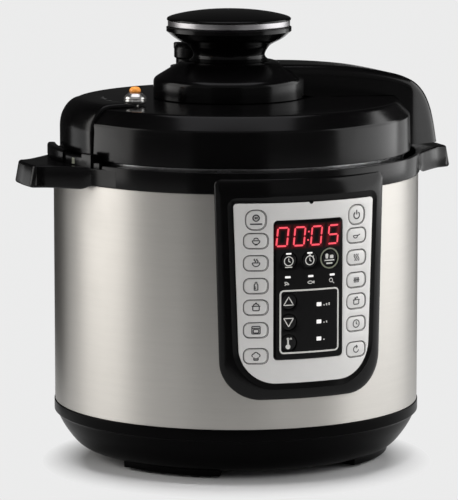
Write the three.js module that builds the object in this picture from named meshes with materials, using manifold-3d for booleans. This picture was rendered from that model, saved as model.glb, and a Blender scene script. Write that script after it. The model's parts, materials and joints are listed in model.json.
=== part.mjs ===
// Electric pressure cooker, millimetres, +Z up, front (control panel) towards -Y.
// Every height below is measured from the table the feet stand on.
import * as THREE from 'three';
import { mergeVertices } from 'three/addons/utils/BufferGeometryUtils.js';
import Module from 'manifold-3d';

const wasm = await Module();
wasm.setup();

// ---------------------------------------------------------------- general
const DEG = Math.PI / 180;
const GAP = 0.3;              // clearance between neighbouring fixed pieces
const WALL = 2.4;             // plastic wall
const N_RING = 40;            // facets of the large outer pieces
const N_STEEL = 36;           // facets of the pot and the steel parts round it
const N_KNOB = 28;            // facets of the knob pieces
const N_SMALL = 16;           // facets of pins and posts

// ---------------------------------------------------------------- body
const R_BODY = 145;           // outside of the stainless cylinder
const T_SHELL = 0.8;
const R_LIP = R_BODY + 0.6;   // black lip above and below the cylinder
const Z_SHELL_BOT = 43.5;
const Z_SHELL_TOP = 225;
const SPIGOT = 6.5;           // how far base and collar reach into the cylinder
const T_SPIGOT = 2.5;
const Z_FLOOR = 3.6;          // underside of the base housing
const T_FLOOR = 2.6;
const R_COVER = R_BODY - 45;  // service cover
const T_COVER = 2.2;
const T_LEDGE = 2.4;
const W_LEDGE = 6;

// ---------------------------------------------------------------- feet
const FOOT_ANGLES = [48, 132, 228, 312];
const R_PAD = [R_BODY - 40.5, R_BODY - 24.5];
const A_PAD = 20;             // half angle of a pad
const Z_PAD = 2.0;
const R_FOOT = [R_PAD[0] + 3.5, R_PAD[1] - 3.5];
const A_FOOT = 16.5;
const T_FOOT = 1.0;
const R_NUB = 4.2;
const A_NUB = 10;

// ---------------------------------------------------------------- collar
const Z_COLLAR_TOP = 241.5;
const T_COLLAR = 2.7;
const Z_TROUGH = 228.3;       // floor of the drip trough
const R_CURB = [R_BODY - 23, R_BODY - 20.6];  // inner curb that carries the steel housing
const Z_CURB = 231;
const X_EAR = R_BODY + 35;
const EAR_TIP = 17;           // half width at the tip
const EAR_ROOT = 53;          // half width where it meets the collar
const Z_EAR = [226, 239.5];
const EAR_BEVEL = 2;
const R_GUARD = [R_BODY - 2.8, R_BODY + 3.5];
const A_GUARD = 23;
const Z_GUARD = 249.8;
const R_STEP = R_GUARD[1] - 1.2;
const A_STEP = 25.5;
const Z_STEP = 233;

// ---------------------------------------------------------------- drip cup
const HOOD_X = 32;
const HOOD_Y = R_BODY + 23;
const HOOD_Z = [225.3, 232];
const RAIL_T = 2.1;
const RAIL_Z = 216;
const LIP_T = 2.4;
const LIP_W = 3;
const CUP_Y = [R_BODY + 3, HOOD_Y - 1.6];
const CUP_Z = [196, 224.9];
const CUP_WALL = 1.7;
const CUP_FIT = 0.5;
const CUP_FLANGE = 1.8;

// ---------------------------------------------------------------- pot and steel parts
const R_POT = R_BODY - 29.6;
const T_POT = 1.4;
const Z_POT = 67.2;
const R_POT_RIM = R_POT + 5.1;
const Z_POT_RIM = 238.6;
const R_HOUSING = R_POT + 2.3;
const T_HOUSING = 1.2;
const Z_HOUSING = 47.6;
const R_HOUSING_HOLE = 58;
const R_FLANGE = R_CURB[1] + 0.8;
const R_LOCK = [R_HOUSING + GAP, R_FLANGE - 0.2];
const R_LOCK_TOOTH = R_LOCK[1] + 4.6;
const T_LOCK = 4;
const TEETH = 6;
const A_TOOTH = 12;           // half angle of a bayonet tooth
const R_PLATE = 88;
const T_PLATE = 8.9;
const R_PLATE_HOLE = 19.5;
const R_LEG = [72, 76];
const R_ELEMENT = 52;
const ELEMENT_TUBE = 2.1;
const A_TERMINAL = 9;
const Z_TERMINAL = 38;
const BAR = [140, 24, 2.4];
const R_SENSOR = 16.6;
const SENSOR_H = 9.6;
const SPRING_R = 10;
const SPRING_WIRE = 0.9;
const SPRING_TURNS = 4;
const SWITCH = [20, 14, 12];

// ---------------------------------------------------------------- lid
const R_SKIRT = [R_BODY - 6.2, R_BODY - 7];
const Z_SKIRT = [243.3, 271.3];
const R_BEVEL = R_SKIRT[0] - 10;
const Z_BEVEL = 281.9;
const R_INNER_TOP = 60;
const Z_LID_TOP = 284.6;
const R_PRESS = [R_SKIRT[0] - 6.2, R_SKIRT[0] - 5];
const Z_TOOTH = [229.2, 231.9];
const R_TOOTH = R_PRESS[0] - 6.2;
const Z_PRESS = 245.8;        // face that presses the sealing ring
const T_PRESS = 2.2;
const Z_PRESS_TOP = 265.2;
const R_SEAL = [R_SKIRT[0] - 26.8, R_SKIRT[0] - 20.2];
const Z_SEAL = [238.9, 245.4];
const T_SEAL = 1.8;
const R_PIN = 4.4;
const R_PIN_HEAD = 6.2;
const X_KNOB = -6;            // the knob stands a little off the middle
const R_TABLE = 60;           // raised round platform under the knob
const Z_TABLE = [298.5, 300.3];
const Z_NECK = 313.4;
const ARM_W = 22;             // half width of the arm
const ARM_WALL = 2.6;
const ARM_BEVEL = 3;
const Z_WING = 242.5;
const X_WING = R_SKIRT[0] + 30.2;
const ARM_TOP = [
  [36, 310.5], [59, 309.4], [81.5, 307.6], [104, 304.8], [X_WING - 42, 300.2],
  [X_WING - 30, 296.2], [X_WING - 20.5, 290.8], [X_WING - 12.5, 282.4], [X_WING - 6.7, 271],
  [X_WING - 3, 258],
];
const A_BRACKET = 15;
const R_BRACKET = R_SKIRT[0] + 1.6;
const Z_BRACKET = 247.6;
const BRACKET_TOP = [[36.4, 285.6], [24.4, 286.6], [13.9, 285.8], [6.9, 281.6], [1.9, 274.5]]
  .map(([inset, z]) => [R_BRACKET - inset, z]);
const NECK = [[28.5, 318], [30.5, 322.8], [34, 326.5], [43, 331.4], [49.6, 337]];
const T_NECK = 3;
const Z_KNOB = [340.4, 347.3, 355];
const R_BAND = [44.8, 49.2];
const VALVE_AT = [-23, 42];
const R_VALVE = 12.5;
const Z_VALVE = [304, 322.5, 325];
const VALVE_LEVER = 17;
const R_WELL = 14.3;
const FLOAT_AT = [43.8 - R_SKIRT[0], -26];
const R_FLOAT = 7.6;
const R_STEM = 3.4;

// ---------------------------------------------------------------- control panel
const R_FRAME = R_BODY + 4.3;
const X_FRAME = [70.6, 68.6];  // half width at the top and at the bottom
const Z_FRAME = [66.9, 236.5];
const R_PANEL_SEAT = R_FRAME - 1.5;
const R_OVERLAY = R_FRAME + 0.3;
const X_OVERLAY = [57.4, 56];
const Z_OVERLAY = [79.9, 218.5];
const X_WINDOW = 28.3;
const Z_WINDOW = [98.2, 205];
const R_WINDOW = R_OVERLAY + 0.3;
const KEY_FIT = 0.4;
const KEY_BACK = R_PANEL_SEAT - 1.2;
const R_KEY = R_WINDOW + 0.3;
const X_KEY = 41.6;
const KEY_ROWS = [206, 190, 173, 155.5, 139, 121.5, 101.5];
const KEY_SIZE = [17, 10.8];
const KEY_TALL = 14.2;
const X_MODE = 16.8;
const Z_MODE = 174.5;
const ADJUST_ROWS = [143, 127, 111];
const R_DISC_KEY = 6.2;
const Z_DIGITS = [180, 202];
const X_DIGITS = 24;
const SHELL_WINDOW = [57, 90, 217];
const X_POST = 31.2;          // posts that hold the control board
const R_POST = 2.4;
const Z_POSTS = [112, 196];
const BOARD_Y = 13.6 - R_BODY;
const T_BOARD = 1.6;

// ---------------------------------------------------------------- power inlet
const INLET_Z = 20.3;
const INLET = [14.5, 10.4];
const INLET_FACE = R_BODY - 18;
const INLET_DEEP = 20;
const INLET_CAVITY = [12.2, 8.2];
const NICHE = [20, 8.8, 32];
const T_NICHE = 2.4;

// ---------------------------------------------------------------- materials
function material(color, roughness, metalness) {
  return new THREE.MeshStandardMaterial({ color, roughness, metalness });
}
const LOOK = {
  plastic: () => material(0x0c0c0d, 0.28, 0),
  steel: () => material(0xb9b4ad, 0.32, 1),
  pressed: () => material(0xc6c7c8, 0.3, 1),
  aluminium: () => material(0xbfc2c4, 0.4, 1),
  chrome: () => material(0xd8d8da, 0.12, 1),
  rubber: () => material(0x1b1b1c, 0.85, 0),
  silicone: () => material(0xc9c5bb, 0.6, 0),
  overlay: () => material(0xb4b5b8, 0.38, 0.6),
  window: () => material(0x0a0a0c, 0.1, 0),
  key: () => material(0xbdbec1, 0.42, 0.4),
  dark_key: () => material(0x17171a, 0.3, 0),
  orange: () => material(0xe8741a, 0.45, 0),
  board: () => material(0x1d5a34, 0.5, 0),
  brass: () => material(0xc8a14c, 0.3, 1),
  smoke: () => material(0x26272a, 0.25, 0),
  coating: () => material(0x35363a, 0.5, 0.2),
};

// ---------------------------------------------------------------- solid helpers
function solid(geometry) {
  const bare = new THREE.BufferGeometry();
  bare.setAttribute('position', geometry.attributes.position);
  if (geometry.index) {
    bare.setIndex(geometry.index);
  }
  const merged = mergeVertices(bare, 1e-4);
  const at = merged.attributes.position;
  const index = merged.index.array;
  const tris = [];
  let volume = 0;
  const a = new THREE.Vector3();
  const b = new THREE.Vector3();
  const c = new THREE.Vector3();
  for (let i = 0; i < index.length; i += 3) {
    const [p, q, r] = [index[i], index[i + 1], index[i + 2]];
    if (p === q || q === r || p === r) {
      continue;
    }
    tris.push([p, q, r]);
    a.fromBufferAttribute(at, p);
    b.fromBufferAttribute(at, q);
    c.fromBufferAttribute(at, r);
    volume += a.dot(b.cross(c));
  }
  const flat = tris.flatMap(([p, q, r]) => (volume < 0 ? [p, r, q] : [p, q, r]));
  return new wasm.Manifold(new wasm.Mesh({
    numProp: 3,
    vertProperties: new Float32Array(at.array),
    triVerts: new Uint32Array(flat),
  }));
}

function join(...parts) {
  return parts.flat().reduce((sum, part) => sum.add(part));
}

function cut(body, ...tools) {
  return tools.flat().reduce((rest, tool) => rest.subtract(tool), body);
}

// Turned piece: [radius, height] points, closed on itself or ending on the axis.
function turned(points, facets = N_RING, x = 0, y = 0) {
  const profile = points.map(([r, z]) => new THREE.Vector2(r, z));
  const [first, last] = [profile[0], profile[profile.length - 1]];
  if (first.x > 1e-6 || last.x > 1e-6) {
    profile.push(first.clone());
  }
  const geometry = new THREE.LatheGeometry(profile, facets);
  geometry.rotateX(Math.PI / 2);
  geometry.translate(x, y, 0);
  return solid(geometry);
}

// Flat outline in X and Y, raised along Z.
function plate(outline, z0, z1, bevel = 0) {
  const shape = new THREE.Shape(outline.map(([x, y]) => new THREE.Vector2(x, y)));
  const geometry = new THREE.ExtrudeGeometry(shape, {
    depth: z1 - z0 - 2 * bevel,
    steps: 1,
    curveSegments: 6,
    bevelEnabled: bevel > 0,
    bevelThickness: bevel,
    bevelSize: bevel,
    bevelOffset: -bevel,
    bevelSegments: 1,
  });
  geometry.translate(0, 0, z0 + bevel);
  return solid(geometry);
}

// Outline in X and Z, run along Y.
function slab(outline, y0, y1, bevel = 0) {
  const shape = new THREE.Shape(outline.map(([x, z]) => new THREE.Vector2(x, z)));
  const geometry = new THREE.ExtrudeGeometry(shape, {
    depth: y1 - y0 - 2 * bevel,
    steps: 1,
    curveSegments: 6,
    bevelEnabled: bevel > 0,
    bevelThickness: bevel,
    bevelSize: bevel,
    bevelOffset: -bevel,
    bevelSegments: 2,
  });
  geometry.rotateX(Math.PI / 2);
  geometry.translate(0, y1 - bevel, 0);
  return solid(geometry);
}

function block(x0, x1, y0, y1, z0, z1) {
  const geometry = new THREE.BoxGeometry(x1 - x0, y1 - y0, z1 - z0);
  geometry.translate((x0 + x1) / 2, (y0 + y1) / 2, (z0 + z1) / 2);
  return solid(geometry);
}

function rod(radius, x, y, z0, z1, facets = N_SMALL) {
  const geometry = new THREE.CylinderGeometry(radius, radius, z1 - z0, facets);
  geometry.rotateX(Math.PI / 2);
  geometry.translate(x, y, (z0 + z1) / 2);
  return solid(geometry);
}

function rodY(radius, x, z, y0, y1, facets = N_SMALL) {
  const geometry = new THREE.CylinderGeometry(radius, radius, y1 - y0, facets);
  geometry.translate(x, (y0 + y1) / 2, z);
  return solid(geometry);
}

// Angles are counted from the front (-Y) towards +X, in degrees.
function polar(radius, angle) {
  return [radius * Math.sin(angle * DEG), -radius * Math.cos(angle * DEG)];
}

function sector(r0, r1, z0, z1, middle, half, step = 6) {
  const count = Math.max(2, Math.round((2 * half) / step));
  const angles = Array.from({ length: count + 1 }, (_, i) => middle - half + (2 * half * i) / count);
  const outer = angles.map((angle) => polar(r1, angle));
  const inner = angles.map((angle) => polar(r0, angle)).reverse();
  return plate([...outer, ...inner], z0, z1);
}

// Rounded four-sided outline; the width may differ between bottom and top.
function rounded(cx, halfTop, halfBottom, v0, v1, rTop, rBottom = rTop, parts = 2) {
  const points = [];
  const corners = [
    [cx + halfBottom - rBottom, v0 + rBottom, rBottom, -90],
    [cx + halfTop - rTop, v1 - rTop, rTop, 0],
    [cx - halfTop + rTop, v1 - rTop, rTop, 90],
    [cx - halfBottom + rBottom, v0 + rBottom, rBottom, 180],
  ];
  for (const [u, v, r, start] of corners) {
    for (let i = 0; i <= parts; i += 1) {
      const angle = (start + (90 * i) / parts) * DEG;
      points.push([u + r * Math.cos(angle), v + r * Math.sin(angle)]);
    }
  }
  return points;
}

function disc(cx, cz, radius, count = 12) {
  return Array.from({ length: count }, (_, i) => {
    const angle = (2 * Math.PI * i) / count;
    return [cx + radius * Math.cos(angle), cz + radius * Math.sin(angle)];
  });
}

// Curved panel piece: a ring between two radii trimmed by an outline seen from the front.
function curved(outline, r0, r1) {
  const heights = outline.map(([, z]) => z);
  const [low, high] = [Math.min(...heights) - 2, Math.max(...heights) + 2];
  const ring = turned([[r0, low], [r1, low], [r1, high], [r0, high]]);
  return ring.intersect(slab(outline, -R_BODY - 20, -60));
}

const group = new THREE.Group();
group.name = 'electric_pressure_cooker';

function piece(name, body, look) {
  const mesh = body.getMesh();
  let geometry = new THREE.BufferGeometry();
  const positions = new Float32Array(mesh.vertProperties);
  geometry.setAttribute('position', new THREE.BufferAttribute(positions, 3));
  geometry.setIndex(new THREE.BufferAttribute(new Uint32Array(mesh.triVerts), 1));
  geometry = geometry.toNonIndexed();
  geometry.translate(0, -Y_MIDDLE, 0);
  geometry.computeVertexNormals();
  const part = new THREE.Mesh(geometry, look());
  part.name = name;
  part.material.name = name;
  group.add(part);
}

// The frame's origin sits under the middle of the outside box.
const Y_MIDDLE = (HOOD_Y - R_KEY) / 2;

// ---------------------------------------------------------------- base
function bowl(offset) {
  const points = [
    [27, Z_FLOOR], [21.4, 4.9], [15.4, 10.4], [9.2, 19.3], [4.8, 26.6], [1.6, 33.6],
  ];
  return points.map(([inset, z]) => [R_BODY - inset - offset, z]);
}

function baseHousing() {
  const inner = [
    [5.6, 33], [11.8, 20.8], [18.2, 11.4], [23.4, Z_FLOOR + T_FLOOR],
  ].map(([inset, z]) => [R_BODY - inset, z]);
  const spigotIn = R_BODY - T_SHELL - GAP - T_SPIGOT;
  let body = turned([
    [R_COVER + GAP, Z_FLOOR],
    ...bowl(0),
    [R_LIP, 34.8],
    [R_LIP, Z_SHELL_BOT - GAP],
    [R_BODY - T_SHELL - GAP, Z_SHELL_BOT - GAP],
    [R_BODY - T_SHELL - GAP, Z_SHELL_BOT + SPIGOT],
    [spigotIn, Z_SHELL_BOT + SPIGOT],
    [spigotIn, Z_SHELL_BOT - 4],
    ...inner,
    [R_COVER - W_LEDGE, Z_FLOOR + T_COVER + 2 * GAP + T_LEDGE],
    [R_COVER - W_LEDGE, Z_FLOOR + T_COVER + 2 * GAP],
    [R_COVER + GAP, Z_FLOOR + T_COVER + 2 * GAP],
  ]);
  for (const angle of FOOT_ANGLES) {
    body = join(body, sector(R_PAD[0], R_PAD[1], Z_PAD, Z_FLOOR + 0.5, angle, A_PAD, 10));
  }
  // niche for the power socket at the rear
  const [nx, nz0, nz1] = NICHE;
  const full = turned([[0, 5], ...bowl(0).slice(1), [R_LIP, 34.8], [R_LIP, 40], [0, 40]]);
  const shellBlock = block(
    -nx - T_NICHE, nx + T_NICHE, INLET_FACE - T_NICHE, R_BODY + 5, nz0 - T_NICHE, nz1 + T_NICHE,
  ).intersect(full);
  body = join(body, shellBlock);
  body = cut(body, block(-nx, nx, INLET_FACE, R_BODY + 15, nz0, nz1));
  const [ix, iz] = INLET;
  body = cut(body, block(
    -ix - GAP, ix + GAP, INLET_FACE - 10, INLET_FACE + 2, INLET_Z - iz - GAP, INLET_Z + iz + GAP,
  ));
  return body;
}

function bottomCover() {
  const z1 = Z_FLOOR + T_COVER + GAP;
  let body = rod(R_COVER, 0, 0, Z_FLOOR + GAP, z1, N_RING);
  for (let row = 0; row < 2; row += 1) {
    for (let i = 0; i < 6; i += 1) {
      const r0 = 40 + 22 * row;
      body = cut(body, sector(r0, r0 + 4, Z_FLOOR - 2, 10, 30 + 60 * i, 18, 18));
    }
  }
  for (const x of [-44, 44]) {
    for (const y of [POWER_Y + 6, POWER_Y + 52]) {
      body = join(body, rod(3.2, x, y, z1 - 1, BOARD_Z - GAP));
    }
  }
  return body;
}

function foot(angle) {
  const top = Z_PAD - GAP;
  let body = sector(R_FOOT[0], R_FOOT[1], top - T_FOOT, top, angle, A_FOOT, 11);
  for (const side of [-1, 1]) {
    const [x, y] = polar((R_FOOT[0] + R_FOOT[1]) / 2, angle + side * A_NUB);
    body = join(body, rod(R_NUB, x, y, 0, top - 0.3, 10));
  }
  return body;
}

function outerShell() {
  const ring = turned([
    [R_BODY - T_SHELL, Z_SHELL_BOT], [R_BODY, Z_SHELL_BOT],
    [R_BODY, Z_SHELL_TOP], [R_BODY - T_SHELL, Z_SHELL_TOP],
  ]);
  const [x, z0, z1] = SHELL_WINDOW;
  return cut(ring, slab(rounded(0, x, x, z0, z1, 6), -R_BODY - 10, -100));
}

function earOutline() {
  const root = EAR_ROOT;
  const tip = EAR_TIP;
  return [
    [R_BODY - 9, root], [R_BODY - 1, root - 6.5], [R_BODY + 6, root - 14],
    [R_BODY + 14, tip + 13], [R_BODY + 23, tip + 5.5],
    [X_EAR - 5, tip], [X_EAR - 1.2, tip - 3], [X_EAR, tip - 8],
  ];
}

function ear(side) {
  const half = earOutline();
  const outline = [...half, ...half.map(([x, y]) => [x, -y]).reverse()];
  const body = plate(outline, Z_EAR[0], Z_EAR[1], EAR_BEVEL);
  return side > 0 ? body : body.rotate([0, 0, 180]);
}

function collar() {
  const inside = R_BODY - T_SHELL - GAP;
  const bore = R_LIP - T_COLLAR;
  const under = Z_TROUGH - WALL;
  let body = turned([
    [inside - T_SPIGOT, Z_SHELL_TOP - SPIGOT], [inside, Z_SHELL_TOP - SPIGOT],
    [inside, Z_SHELL_TOP + GAP], [R_LIP, Z_SHELL_TOP + GAP],
    [R_LIP, Z_COLLAR_TOP - 1.2], [R_LIP - 1.2, Z_COLLAR_TOP], [bore, Z_COLLAR_TOP],
    [bore, Z_TROUGH], [R_CURB[1], Z_TROUGH], [R_CURB[1], Z_CURB], [R_CURB[0], Z_CURB],
    [R_CURB[0], under], [inside - T_SPIGOT, under],
  ]);
  // the ears stop at the trough wall
  const keep = turned([
    [bore + 0.4, 200], [R_LIP + 60, 200], [R_LIP + 60, 260], [bore + 0.4, 260],
  ]);
  const spare = turned([
    [bore + 0.4, 210], [R_LIP + 0.3, 210], [R_LIP + 0.3, Z_SHELL_TOP + GAP],
    [bore + 0.4, Z_SHELL_TOP + GAP],
  ]);
  for (const side of [1, -1]) {
    body = join(body, cut(ear(side).intersect(keep), spare));
  }
  // guard round the foot of the left-hand bracket, with a step below it
  body = join(body, sector(R_GUARD[0] + 0.9, R_GUARD[1], Z_COLLAR_TOP - 3, Z_GUARD, 270, A_GUARD));
  body = join(body, sector(R_LIP - 1.5, R_STEP, Z_STEP, Z_COLLAR_TOP - 1.5, 270, A_STEP, 5.5));
  // hood and rails of the drip cup
  const [hz0, hz1] = HOOD_Z;
  body = join(body, cut(
    block(-HOOD_X, HOOD_X, R_BODY - 9, HOOD_Y, hz0, hz1),
    rod(bore + 0.4, 0, 0, 200, 260, N_RING),
  ));
  for (const side of [-1, 1]) {
    const [a, b] = [HOOD_X - RAIL_T, HOOD_X].map((x) => x * side).sort((p, q) => p - q);
    body = join(body, block(a, b, CUP_Y[0] - 1, HOOD_Y, RAIL_Z, hz0 + 1));
    const [c, d] = [HOOD_X - RAIL_T - LIP_W, HOOD_X - 0.5].map((x) => x * side)
      .sort((p, q) => p - q);
    body = join(body, block(c, d, CUP_Y[0] - 1, HOOD_Y, RAIL_Z, RAIL_Z + LIP_T));
  }
  // drain from the trough into the cup
  body = cut(body, block(-4, 4, R_BODY - 7, CUP_Y[0] + 8, Z_TROUGH, Z_TROUGH + 1.9));
  body = cut(body, rod(3, 0, CUP_Y[0] + 5, hz0 - 3, Z_TROUGH + 1));
  return body;
}

function dripCup() {
  const x = HOOD_X - RAIL_T - LIP_W - CUP_FIT;
  const flange = HOOD_X - RAIL_T - CUP_FIT;
  const [y0, y1] = CUP_Y;
  const [z0, z1] = CUP_Z;
  let body = plate(rounded(0, x, x, y0, y1, 4), z0, z1);
  const zf = RAIL_Z + LIP_T + CUP_FIT;
  body = join(body, block(-flange, flange, y0, HOOD_Y - 4, zf, zf + CUP_FLANGE));
  body = cut(body, plate(
    rounded(0, x - CUP_WALL, x - CUP_WALL, y0 + CUP_WALL, y1 - CUP_WALL, 2.5),
    z0 + CUP_WALL, z1 + 3,
  ));
  return body;
}

// ---------------------------------------------------------------- steel parts in the base
function innerHousing() {
  const r = R_HOUSING;
  const t = T_HOUSING;
  const top = Z_CURB + GAP;
  return turned([
    [R_HOUSING_HOLE, Z_HOUSING], [r - 6, Z_HOUSING], [r, Z_HOUSING + 6], [r, top],
    [R_FLANGE, top], [R_FLANGE, top + t], [r - t, top + t], [r - t, Z_HOUSING + 6.5],
    [r - 6.5, Z_HOUSING + t], [R_HOUSING_HOLE, Z_HOUSING + t],
  ], N_STEEL);
}

const Z_LOCK = Z_CURB + GAP + T_HOUSING + GAP;

function lockingRing() {
  let body = turned([
    [R_LOCK[0], Z_LOCK], [R_LOCK[1], Z_LOCK],
    [R_LOCK[1], Z_LOCK + T_LOCK], [R_LOCK[0], Z_LOCK + T_LOCK],
  ], N_STEEL);
  for (let i = 0; i < TEETH; i += 1) {
    const angle = (360 / TEETH) * i;
    body = join(body, sector(
      R_LOCK[1] - 2, R_LOCK_TOOTH, Z_LOCK + 0.4, Z_LOCK + T_LOCK - 0.4, angle, A_TOOTH,
    ));
  }
  return body;
}

const Z_PLATE_TOP = Z_POT - GAP;

function heatingPlate() {
  const low = Z_PLATE_TOP - T_PLATE;
  return turned([
    [R_PLATE_HOLE, low], [R_LEG[0], low], [R_LEG[0], Z_HOUSING + T_HOUSING + GAP],
    [R_LEG[1], Z_HOUSING + T_HOUSING + GAP], [R_LEG[1], low], [R_PLATE, low + 2.5],
    [R_PLATE, Z_PLATE_TOP - 1], [R_PLATE - 1.5, Z_PLATE_TOP], [R_PLATE_HOLE, Z_PLATE_TOP],
  ], N_STEEL);
}

function heatingElement() {
  const z = Z_PLATE_TOP - T_PLATE - GAP - ELEMENT_TUBE;
  const tube = Array.from({ length: 6 }, (_, i) => {
    const angle = i * 60 * DEG + Math.PI / 6;
    const r = ELEMENT_TUBE;
    return [R_ELEMENT + r * Math.cos(angle), z + r * Math.sin(angle)];
  });
  let body = turned(tube, 24);
  for (const side of [-1, 1]) {
    const [x, y] = polar(R_ELEMENT, side * A_TERMINAL);
    body = join(body, rod(1.6, x, y, Z_TERMINAL, z, 10));
  }
  return body;
}

const Z_BAR = Z_HOUSING - GAP;

function springBar() {
  const [w, d, t] = BAR;
  return plate(rounded(0, w / 2, w / 2, -d / 2, d / 2, 5), Z_BAR - t, Z_BAR);
}

function sensorButton() {
  const top = Z_POT - GAP;
  return turned([
    [0, top], [R_SENSOR - 2.4, top], [R_SENSOR, top - 1.4], [R_SENSOR, top - SENSOR_H],
    [R_SENSOR - 1.4, top - SENSOR_H], [R_SENSOR - 1.4, top - 2.4], [0, top - 2.4],
  ], 32);
}

function sensorSpring() {
  const z0 = Z_BAR + GAP + SPRING_WIRE;
  const z1 = Z_POT - GAP - 2.4 - GAP - SPRING_WIRE;
  const points = Array.from({ length: SPRING_TURNS * 10 + 1 }, (_, i) => {
    const part = i / (SPRING_TURNS * 10);
    const angle = part * SPRING_TURNS * 2 * Math.PI;
    return new THREE.Vector3(
      SPRING_R * Math.cos(angle), SPRING_R * Math.sin(angle), z0 + (z1 - z0) * part,
    );
  });
  const path = new THREE.CatmullRomCurve3(points);
  const wire = new THREE.Shape(disc(0, 0, SPRING_WIRE, 5).map(([x, y]) => new THREE.Vector2(x, y)));
  return solid(new THREE.ExtrudeGeometry(wire, {
    steps: SPRING_TURNS * 10,
    bevelEnabled: false,
    extrudePath: path,
  }));
}

function pressureSwitch() {
  const [w, d, h] = SWITCH;
  const z1 = Z_BAR - BAR[2] - GAP;
  let body = block(-w / 2, w / 2, -d / 2, d / 2, z1 - h, z1);
  for (const x of [-w / 4, w / 4]) {
    body = join(body, block(x - 2.4, x + 2.4, -0.5, 0.5, z1 - h - 6, z1 - h + 1));
  }
  return body;
}

// ---------------------------------------------------------------- electronics
const BOARD_Z = 16;
const POWER_Y = R_COVER - 78;  // front edge of the power board

function powerBoard() {
  const y = POWER_Y;
  let body = plate(rounded(0, 50, 50, y, y + 58, 3), BOARD_Z, BOARD_Z + T_BOARD);
  const z = BOARD_Z + T_BOARD - 0.2;
  body = join(body, block(-42, -18, y + 14, y + 38, z, z + 17));
  body = join(body, block(-8, 8, y + 10, y + 24, z, z + 14));
  body = join(body, rod(6, 22, y + 18, z, z + 18, 14));
  body = join(body, rod(5, 37, y + 20, z, z + 13, 14));
  body = join(body, block(10, 40, y + 40, y + 50, z, z + 9));
  return body;
}

function controlBoard() {
  const outline = rounded(0, 50, 50, 93, 214, 4);
  let body = slab(outline, BOARD_Y - T_BOARD, BOARD_Y);
  body = join(body, block(-12, 12, BOARD_Y - 0.3, BOARD_Y + 3, 130, 150));
  body = join(body, block(18, 40, BOARD_Y - 0.3, BOARD_Y + 6, 100, 108));
  return body;
}

function displayModule() {
  const front = -Math.sqrt(R_PANEL_SEAT ** 2 - X_DIGITS ** 2) + 3.4;
  return block(-X_DIGITS, X_DIGITS, front, BOARD_Y - T_BOARD - GAP, Z_DIGITS[0], Z_DIGITS[1]);
}

// ---------------------------------------------------------------- control panel
const OUTER_KEYS = [];
for (const side of [-1, 1]) {
  KEY_ROWS.forEach((z, row) => {
    const number = (side < 0 ? 0 : KEY_ROWS.length) + row + 1;
    const high = row === 0 ? KEY_TALL : KEY_SIZE[1];
    OUTER_KEYS.push({ name: `key_${number}`, x: side * X_KEY, z, high, round: row === 0 });
  });
}
const INNER_KEYS = [];
[-1, 0, 1].forEach((side, i) => {
  INNER_KEYS.push({ name: `mode_key_${i + 1}`, x: side * X_MODE, z: Z_MODE });
});
ADJUST_ROWS.forEach((z, i) => {
  INNER_KEYS.push({ name: `adjust_key_${i + 1}`, x: -X_MODE, z });
});

function keyOutline(key, grow) {
  if (key.high === undefined) {
    return disc(key.x, key.z, R_DISC_KEY + grow);
  }
  const w = (key.round ? KEY_TALL : KEY_SIZE[0]) / 2 + grow;
  const h = key.high / 2 + grow;
  const r = key.round ? 5.5 : 4.2;
  return rounded(key.x, w, w, key.z - h, key.z + h, r, r, 2);
}

function panelFrame() {
  const outline = rounded(0, X_FRAME[0], X_FRAME[1], Z_FRAME[0], Z_FRAME[1], 4, 28, 4);
  const back = R_BODY + GAP;
  const step = R_LIP + GAP;
  const ring = turned([
    [back, Z_FRAME[0] - 2], [R_FRAME, Z_FRAME[0] - 2], [R_FRAME, Z_FRAME[1] + 2],
    [step, Z_FRAME[1] + 2], [step, Z_SHELL_TOP - 0.4], [back, Z_SHELL_TOP - 0.4],
  ]);
  let body = ring.intersect(slab(outline, -R_BODY - 20, -60));
  // pocket for the silver overlay
  const [z0, z1] = Z_OVERLAY;
  body = cut(body, curved(
    rounded(0, X_OVERLAY[0] + GAP, X_OVERLAY[1] + GAP, z0 - GAP, z1 + GAP, 8, 26, 3),
    R_PANEL_SEAT, R_FRAME + 5,
  ));
  for (const key of [...OUTER_KEYS, ...INNER_KEYS]) {
    body = cut(body, slab(keyOutline(key, KEY_FIT), -R_BODY - 20, -100));
  }
  body = cut(body, slab(
    rounded(0, X_DIGITS + 1, X_DIGITS + 1, Z_DIGITS[0] + 3, Z_DIGITS[1] - 1, 2, 2, 1),
    -R_BODY - 20, -100,
  ));
  for (const x of [-X_POST, X_POST]) {
    const face = -Math.sqrt(back ** 2 - x ** 2) - 1.4;
    for (const z of Z_POSTS) {
      body = join(body, rodY(R_POST, x, z, face, BOARD_Y - T_BOARD - GAP, 8));
    }
  }
  return body;
}

function panelOverlay() {
  const [z0, z1] = Z_OVERLAY;
  const outline = rounded(0, X_OVERLAY[0], X_OVERLAY[1], z0, z1, 7.7, 25.7, 3);
  let body = curved(outline, R_PANEL_SEAT + GAP, R_OVERLAY);
  const hole = rounded(
    0, X_WINDOW + GAP, X_WINDOW + GAP, Z_WINDOW[0] - GAP, Z_WINDOW[1] + GAP, 3.3, 3.3, 2,
  );
  body = cut(body, slab(hole, -R_BODY - 20, -100));
  for (const key of OUTER_KEYS) {
    body = cut(body, slab(keyOutline(key, KEY_FIT), -R_BODY - 20, -100));
  }
  return body;
}

function displayWindow() {
  const outline = rounded(0, X_WINDOW, X_WINDOW, Z_WINDOW[0], Z_WINDOW[1], 3, 3, 2);
  let body = curved(outline, R_PANEL_SEAT + GAP, R_WINDOW);
  for (const key of INNER_KEYS) {
    body = cut(body, slab(keyOutline(key, KEY_FIT), -R_BODY - 20, -100));
  }
  return body;
}

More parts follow.
